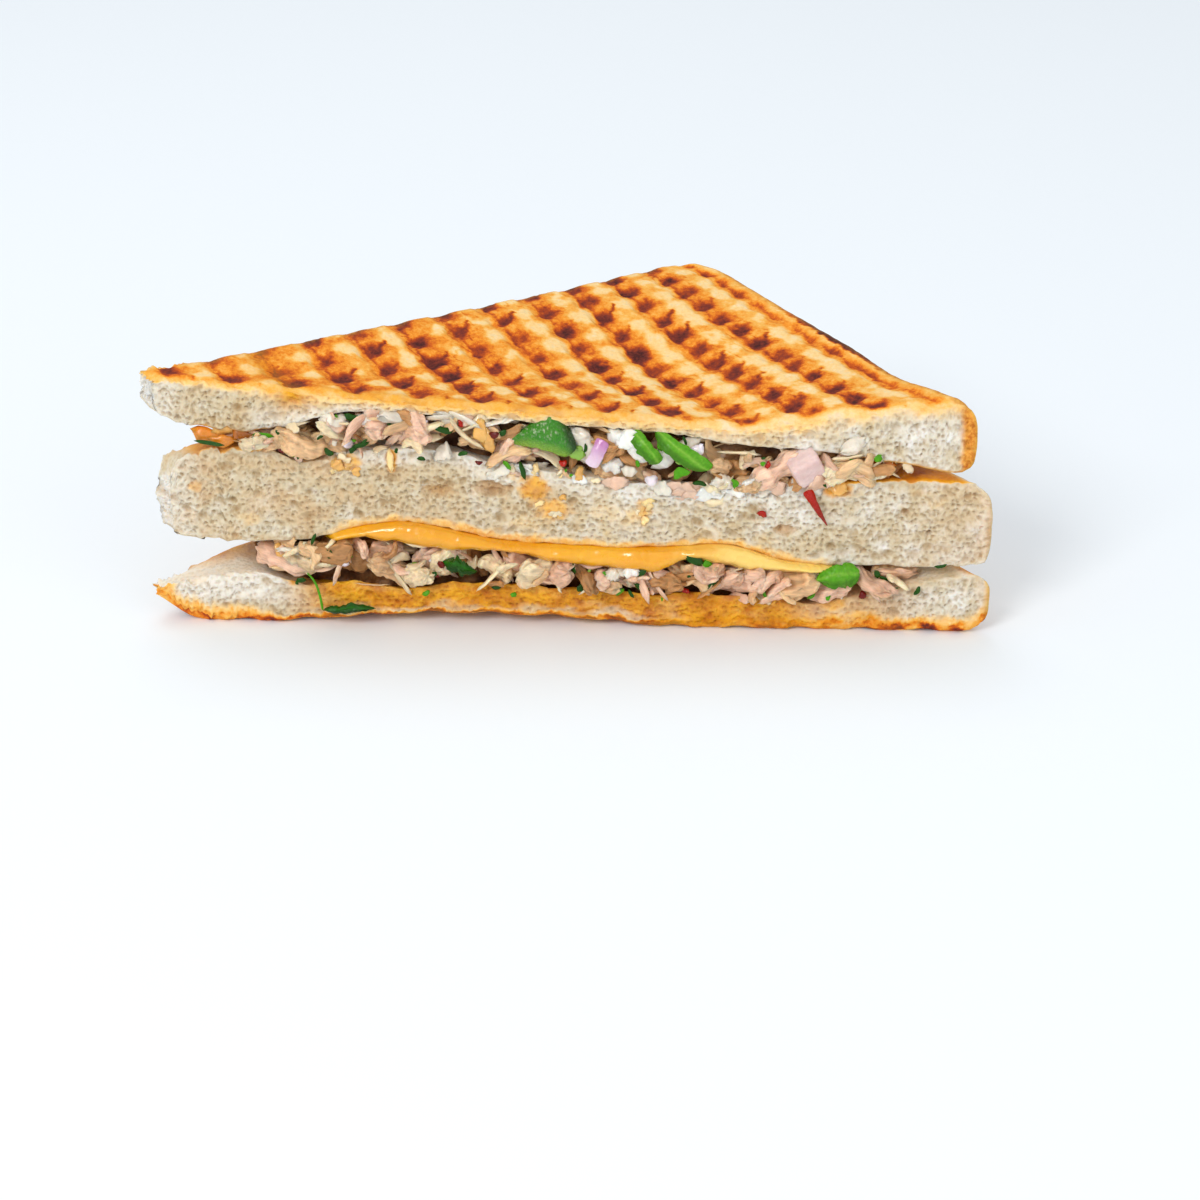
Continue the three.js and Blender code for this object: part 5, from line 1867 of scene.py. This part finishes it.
def bread() -> None:
    """Builds the three slices."""
    toasted = BreadFinish("toasted_bread").build()
    TopSlice("grilled_lid", "bread_top", "grilled_bread", TOP_SPAN, 449, 193, 22, 4, 100).build(toasted)
    MiddleSlice(
        "soft_slice", "bread_middle", "white_bread", MIDDLE_SPAN, 481, 33, 51, 4, 200,
        roll=2.2, roll_reach=3.4,
        stains=(
            Patch(-36, 31.2, 3.2, 2.2, 0.55), Patch(-45, 33.2, 4, 1.8, 0.6),
            Patch(-28, 31.2, 1, 2.6, 0.8),
            Patch(-6.4, 30.8, 3, 2.6, 0.85), Patch(-3.6, 26.4, 3, 3.4, 0.75),
            Patch(-0.4, 22.6, 3.6, 2.4, 0.6),
            Patch(15, 22.5, 1.6, 2.6, 0.4), Patch(48, 27, 2.8, 1.5, 0.8), Patch(-62, 26, 1.6, 1.4, 0.4),
        ),
        hollows=(
            Patch(-20, 25.8, 3.2, 1.3), Patch(-11.4, 26.2, 4.4, 1.5), Patch(39.5, 19.3, 2.3, 1),
            Patch(60, 23, 0.8, 0.7, 0.8), Patch(53, 15.6, 0.8, 0.6, 0.7), Patch(64, 19, 0.5, 0.9, 0.7),
            Patch(-34, 17.8, 0.7, 0.8, 0.8), Patch(-29.5, 18.2, 0.6, 0.6, 0.8), Patch(-24, 20, 0.9, 0.8, 0.5),
        ),
    ).build(toasted)
    BottomSlice(
        "pressed_slice", "bread_bottom", "toasted_bread", BOTTOM_SPAN, 433, 49, 24, 1, 300,
        stains=(Patch(-46.3, 9.3, 1.8, 2, 1), Patch(48, 5.5, 3, 1.6, 0.6), Patch(54, 3.4, 3, 1, 0.4)),
    ).build(toasted)


def lower_ceiling(along: Array) -> Array:
    """Ceiling of the lower filling at the cut: the cheese's lip, or the middle slice beside it."""
    under_lip = (along > CHEESE_LIP[0]) & (along < CHEESE_LIP[1])
    return np.where(under_lip, lip_height(along) + 0.4, AT_CUT["middle_under"](along))


def lower_floor(along: Array) -> Array:
    """Floor of the lower filling at the cut: on the swollen lip of the bottom slice."""
    return AT_CUT["bottom_top"](along) + 1.3 * swollen(along)


def upper_floor(along: Array) -> Array:
    """Floor of the upper filling at the cut, which spills over the bread from the pepper to the cube."""
    return AT_CUT["middle_top"](along) - 2.2 * between(-8, 6, 34, 42, along)


def flat(height: float) -> Line:
    """The same height everywhere along the cut."""
    return lambda along: np.full_like(along, height)


def fillings(chicken: Material, dressing: Material) -> None:
    """Builds the two layers of chicken."""
    Filling(
        "upper_chicken", "filling_upper", UPPER_SPAN, (-53, 58), HEIGHT["top_under"], HEIGHT["middle_top"],
        AT_CUT["top_under"], upper_floor, chunks=48, shreds=90, dabs=34, seed=400,
        clear=((-8, 9), (11, 27.5), (39, 46)),
    ).build(chicken, dressing)
    Filling(
        "lower_chicken", "filling_lower", LOWER_SPAN, (-48, 60), HEIGHT["middle_under"], HEIGHT["bottom_top"],
        lower_ceiling, lower_floor, chunks=46, shreds=76, dabs=10, seed=500,
        clear=((-21, -12.5), (44, 53.5)),
    ).build(chicken, dressing)


def garnish(dressing: Material) -> None:
    """Builds the vegetables, the pale cube and all the small bits."""
    leafy = MoistFinish("fresh_greens", wet=0.32, dry=0.5, patch=1.5, mottle=0.4, bump=0.35,
                        scatter_share=0.1, shine=0.2, coat=0.06).build()
    skin = MoistFinish("pepper_skin", wet=0.15, dry=0.35, patch=0.6, mottle=0.9, bump=0.8,
                       scatter_share=0.06, shine=0.3, coat=0.25).build()
    hot = MoistFinish("chilli_skin", wet=0.15, dry=0.35, patch=1.0, mottle=0.3,
                      scatter_share=0.05, shine=0.25, coat=0.15).build()
    crisp = MoistFinish("crisp_onion", wet=0.15, dry=0.35, mottle=0.12, bump=0.15,
                        scatter_share=0.3, coat=0.35).build()
    firm = MoistFinish("firm_chicken", wet=0.3, dry=0.55, mottle=0.16, bump=0.35,
                       scatter_share=0.4, shine=0.3).build()
    ChickenCube().build(firm)
    Strip("green_pepper_piece", "green_vegetable", ("green_pepper",),
          [(-7.4, 0.9, 35.4), (-3.8, -0.9, 37.2), (0.2, -1.4, 36.8), (3.4, -0.6, 34.4)],
          (0.3, 0.35, 1), 4.9, 1.5, 1.0, Tone.PEPPER, Tone.PEPPER_FLESH, Outline.SHARD, ripple=0.2,
          rim=0.9, flecks=0.75, seed=801, rings=81, sides=56).build(skin)
    strips = (
        Strip("rocket_leaf_left", "leaf", ("leaf_left",),
              [(12.4, 1.2, 37.4), (14.6, -1.5, 35.8), (16.4, -1.9, 33.8), (17.6, -0.8, 32)],
              (1, 0.2, 0.7), 2.5, 0.6, 0.2, Tone.LEAF, Tone.LEAF_PALE, ripple=0.2, veins_and_side_shade=0.6, tear=0.2,
              seed=802),
        Strip("rocket_leaf_right", "leaf", ("leaf_right",),
              [(17.2, 0.6, 37.3), (19.8, -1.9, 35.4), (23, -2.1, 33), (26.2, -0.9, 30.8)],
              (1, 0.1, 0.5), 3.2, 0.6, 0.2, Tone.LEAF, Tone.LEAF_PALE, Outline.SHARD, ripple=0.2, veins_and_side_shade=0.6,
              tear=0.2, seed=803),
        Strip("lower_rocket_leaf", "leaf", ("lower_leaf",),
              [(45.2, -1.1, 10.6), (47.6, -2.2, 11.4), (50, -2.2, 11.9), (52.4, -1.2, 12.2)],
              (-0.3, 0.2, 1), 3.8, 0.9, 0.5, Tone.LEAF, Tone.LEAF_PALE, Outline.SHARD, ripple=0.5, veins_and_side_shade=0.5,
              tear=0.28, seed=804),
        Strip("parsley_tuft", "herb", ("herb_tuft",),
              [(-19.6, 0.4, 12.2), (-17.8, -1.6, 12.6), (-15.8, -1.9, 12), (-13.8, -0.8, 11.2)],
              (0, 0.3, 1), 3.0, 0.8, 0.4, Tone.HERB, Tone.PEPPER, Outline.LEAF, ripple=0.8, veins_and_side_shade=0.6,
              tear=0.5, seed=805),
        Strip("sprig_foot_leaf", "herb", ("sprig_leaf",),
              [(-40.8, -1.7, 3.6), (-38, -2.1, 3.8), (-34.8, -2.1, 4.2), (-31.6, -1.7, 4)],
              (0.1, 0.2, 1), 1.7, 0.7, 0.3, Tone.HERB, Tone.PEPPER, Outline.LEAF, ripple=0.5, veins_and_side_shade=0.6,
              tear=0.6, seed=806),
        Strip("sprig_stem", "herb", (),
              [(-43.4, -0.6, 10.2), (-42, -1.6, 8.8), (-41.2, -1.9, 6.2), (-40.9, -1.8, 3.6)],
              (1, 0.1, 0), 0.45, 0.4, 0.0, Tone.LEAF, Tone.HERB, ripple=0.03, seed=807, sides=10),
    )
    for strip in strips:
        strip.build(leafy)
    Strip("red_onion_piece", "red_onion", ("onion_strip",),
          [(8.2, -0.7, 36.0), (7.6, -1.3, 34.6), (6.8, -1.6, 33.0), (6.0, -1.4, 31.5)],
          (1, -0.2, -0.5), 2.4, 0.9, 0.1, Tone.ONION, Tone.ONION_PALE, ripple=0.1, bleach=0.7,
          seed=808).build(crisp)
    Strip("red_chilli_piece", "red_chilli", ("chilli_sliver",),
          [(42.9, -1.7, 27.6), (44, -2, 25.6), (45.3, -1.9, 23.2), (46.6, -1.6, 21)],
          (1, 0.1, 0.4), 2, 0.8, 0.3, Tone.CHILLI, Tone.CHILLI_DARK, Outline.TAPER, bleach=0.5,
          seed=809).build(hot)
    small_bits(leafy, crisp, hot, dressing)


def small_bits(leafy: Material, crisp: Material, hot: Material,
               dressing: Material) -> None:
    """Builds the herb flecks, the bits of onion and chilli, the crumbs and the outer dressing."""
    upper = (AT_CUT["middle_top"], AT_CUT["top_under"], -52.0, 56.0)
    lower = (AT_CUT["bottom_top"], lower_ceiling, -46.0, 60.0)
    Bits(
        "herb_flecks", "herb", (Tone.HERB, Tone.LEAF, Tone.HERB),
        (
            Bit(-59, 34.4, 4.6, 1, 0.05, 0.6), Bit(-49.6, 36, 3, 1.2, 0.1),
            Bit(-43.4, 33.4, 2.4, 0.5, -0.5),
            Bit(-38.6, 33.2, 1.6, 1.2, 0.5), Bit(-34.4, 39.4, 2.6, 1.2, 0.2, 0.4),
            Bit(-31.4, 38.6, 2, 0.9, 1.3, 0.4),
            Bit(-27.6, 38.4, 1.6, 0.8), Bit(-19, 37.6, 3.2, 1.2, 0.35), Bit(-33, 34.6, 2.4, 0.8, -0.2),
            Bit(-22.8, 32.2, 1.3, 0.8), Bit(-8.2, 31.2, 1.8, 1.1, 0.9), Bit(-5.6, 30.2, 2.8, 0.9, 1.3),
            Bit(14.6, 33.8, 1.7, 1.1, 0.5), Bit(21.4, 30.2, 2.8, 1.8, -0.5),
            Bit(24.6, 28.4, 2.2, 0.9, 0.15, 1.1),
            Bit(-42, 16.8, 1.9, 0.6, -1.2), Bit(-40.4, 14.6, 2.2, 0.9, 0.1),
            Bit(24, 14.2, 2.9, 1.6, 0.5, 1.6),
            Bit(8.6, 10.8, 1.6, 1.3, 0.3), Bit(14.6, 11.6, 2.4, 1.5, -0.3), Bit(15, 8.4, 2.6, 1.2, 0.5),
            Bit(27.2, 9.2, 2.4, 1.2, -0.8), Bit(40.6, 6.4, 1.2, 1), Bit(47.2, 7.2, 1.1, 1),
            Bit(62.6, 8.6, 1.6, 0.8, -1.1), Bit(66.4, 13.4, 2.2, 0.6, -0.3), Bit(54.8, 33.4, 1.2, 1.4, 1.2),
        ),
        strewn=56, seed=900, zones=(upper, lower), thin=0.3,
    ).build(leafy)
    Bits(
        "onion_and_pepper_dice", "red_onion", (Tone.ONION_PALE, Tone.DRESSING, Tone.PEPPER_FLESH),
        (Bit(3.6, 33.4, 3, 2.2, 0.3, 0.3), Bit(12.6, 30.4, 2.4, 2, 0.2, 0.8), Bit(16.4, 28.8, 2, 1.8)),
        strewn=14, seed=910, zones=(upper, lower), thin=1.0, long=(1.0, 2.2), out=(-0.2, 0.8),
    ).build(crisp)
    Bits(
        "chilli_flecks", "red_chilli", (Tone.CHILLI, Tone.CHILLI_DARK),
        (Bit(35.4, 22.6, 1.6, 1.4, 0.3, 0.5), Bit(-46.8, 34, 2.4, 1.5, 0.9, 0.7), Bit(-13, 31.6, 1.2, 0.7)),
        strewn=8, seed=920, zones=(upper, lower), thin=0.6,
    ).build(hot)
    Bits(
        "toasted_flakes", "chicken_salad", (Tone.SAUCE, Tone.AMBER, Tone.OIL),
        (
            Bit(-59.5, 35.2, 4.6, 2.4, 0.25, -1), Bit(-56.5, 36.4, 4.2, 2.6, -0.4, -1.2),
            Bit(-57, 34.6, 4.4, 2, 0.1, -0.6),
            Bit(-53.4, 35.8, 3.6, 2.6, 0.5, -0.8), Bit(-51, 34.4, 3, 2.2, -0.3, -0.5),
            Bit(-47.6, 13.6, 3.4, 2.2, 0.5, -1),
            Bit(-45.6, 12, 2.8, 2.2, 0.2, -0.8), Bit(-11.4, 35.4, 4.2, 2.4, 1.35, 0.2),
            Bit(56, 31.6, 3.6, 1.6, 0.1, -1),
        ),
        seed=940, thin=1.1, lumpiness=0.4, creases=0.2,
    ).build(dressing)
    Bits(
        "sauce_crumbs", "chicken_salad", (Tone.SAUCE, Tone.CREAM, Tone.CHICKEN_PALE),
        (
            Bit(-28.2, 31.6, 3.6, 1.1, 1.5, 0.2), Bit(-37.2, 30.4, 2.4, 1.8, 0.9, 0.2),
            Bit(48, 27.6, 3.4, 2, 0.2, 0.4),
            Bit(-12.6, 37.2, 3.8, 2, 1.35, 0.4), Bit(60, 31.4, 2.6, 1.6, 1.3, -0.6),
        ),
        strewn=24, seed=930, thin=0.7, lumpiness=0.5, long=(0.9, 2.4), out=(-0.3, -0.05), rings=13, sides=16,
        zones=(
            (flat(26.5), flat(32), -8.5, -3), (flat(20.5), flat(27.5), -4.5, 2.0),
            (flat(20.5), flat(25), 14, 16.5), (flat(28), flat(32), -39, -33), (flat(27.5), flat(30.5), -2, 8),
        ),
    ).build(dressing)
    Bits(
        "dressing_dollops", "chicken_salad", (Tone.DRESSING, Tone.CRUMB_WHITE),
        (
            Bit(4.6, 34.6, 6.2, 4.4, 1.1, -0.9), Bit(12, 35.6, 4.6, 3.4, -0.5, -0.6),
            Bit(14.2, 33.6, 4.4, 2.8, 0.6, -0.5),
            Bit(18.4, 32.4, 4.6, 3.2, -0.8, -1.4), Bit(22.6, 34.6, 5, 2.2, -0.5, -1.6),
            Bit(9.6, 31, 3.4, 2.6, 0.2, -0.2), Bit(10.4, 36.2, 3.2, 2.2, 0.1, -1),
            Bit(-37.5, 38.4, 4.4, 2.4, 0.2, -0.4), Bit(-31.5, 38.8, 4.8, 2.2, -0.1, -0.4),
            Bit(28.5, 28.4, 3.4, 2, 0.2, 0.2),
            Bit(33.5, 28.2, 3, 1.8, -0.3, 0.2), Bit(50.5, 35.4, 4.2, 2.4, -0.5, 0.2),
            Bit(9.8, 10.8, 2.4, 2, 0.4, 0.9), Bit(13, 11.4, 2.6, 2, 0, 0.8),
        ),
        seed=950, thin=2.4, lumpiness=0.24, rings=22, sides=26, bend=0.3,
    ).build(dressing)
    spill = AT_CUT["middle_top"]
    Bits(
        "dressing_smears", "chicken_salad",
        (Tone.DRESSING, Tone.CHICKEN_PALE, Tone.CRUMB_WHITE, Tone.CHICKEN_PINK),
        (Bit(30.5, 26.4, 3.4, 1.6, 0.1, 0), Bit(24, 26, 4, 1.4, -0.1, 0)),
        strewn=20, seed=960, thin=0.5, lumpiness=0.5, long=(2.4, 5.0), out=(-0.3, 0.0), tilt=0.5,
        rings=15, sides=18,
        zones=(
            (lambda x: spill(x) - 1.6, lambda x: spill(x) + 0.6, -10, 34),
            (lambda x: spill(x) - 0.9, lambda x: spill(x) + 0.5, -34, 56),
        ),
    ).build(dressing)


def main() -> None:
    """Builds the sandwich piece by piece, then the studio."""
    logging.basicConfig(level=logging.INFO, format="%(name)s %(message)s")
    Camera().build()
    Studio().build()
    bread()
    cheese = MoistFinish("cheese_gloss", wet=0.16, dry=0.34, patch=5.0, mottle=0.06, bump=0.12,
                         scatter_share=0.35, scatter_scale=0.002, coat=0.5).build()
    MeltedCheese().build(cheese)
    chicken = MoistFinish("moist_chicken", wet=0.3, patch=1.5, mottle=0.5, bump=0.9,
                          scatter_share=0.45, shine=0.35, along_strands=True).build()
    dressing = MoistFinish("dressing", wet=0.18, dry=0.4, mottle=0.12, bump=0.25,
                           scatter_share=0.3, coat=0.3).build()
    fillings(chicken, dressing)
    garnish(dressing)


if __name__ == "__main__":
    main()
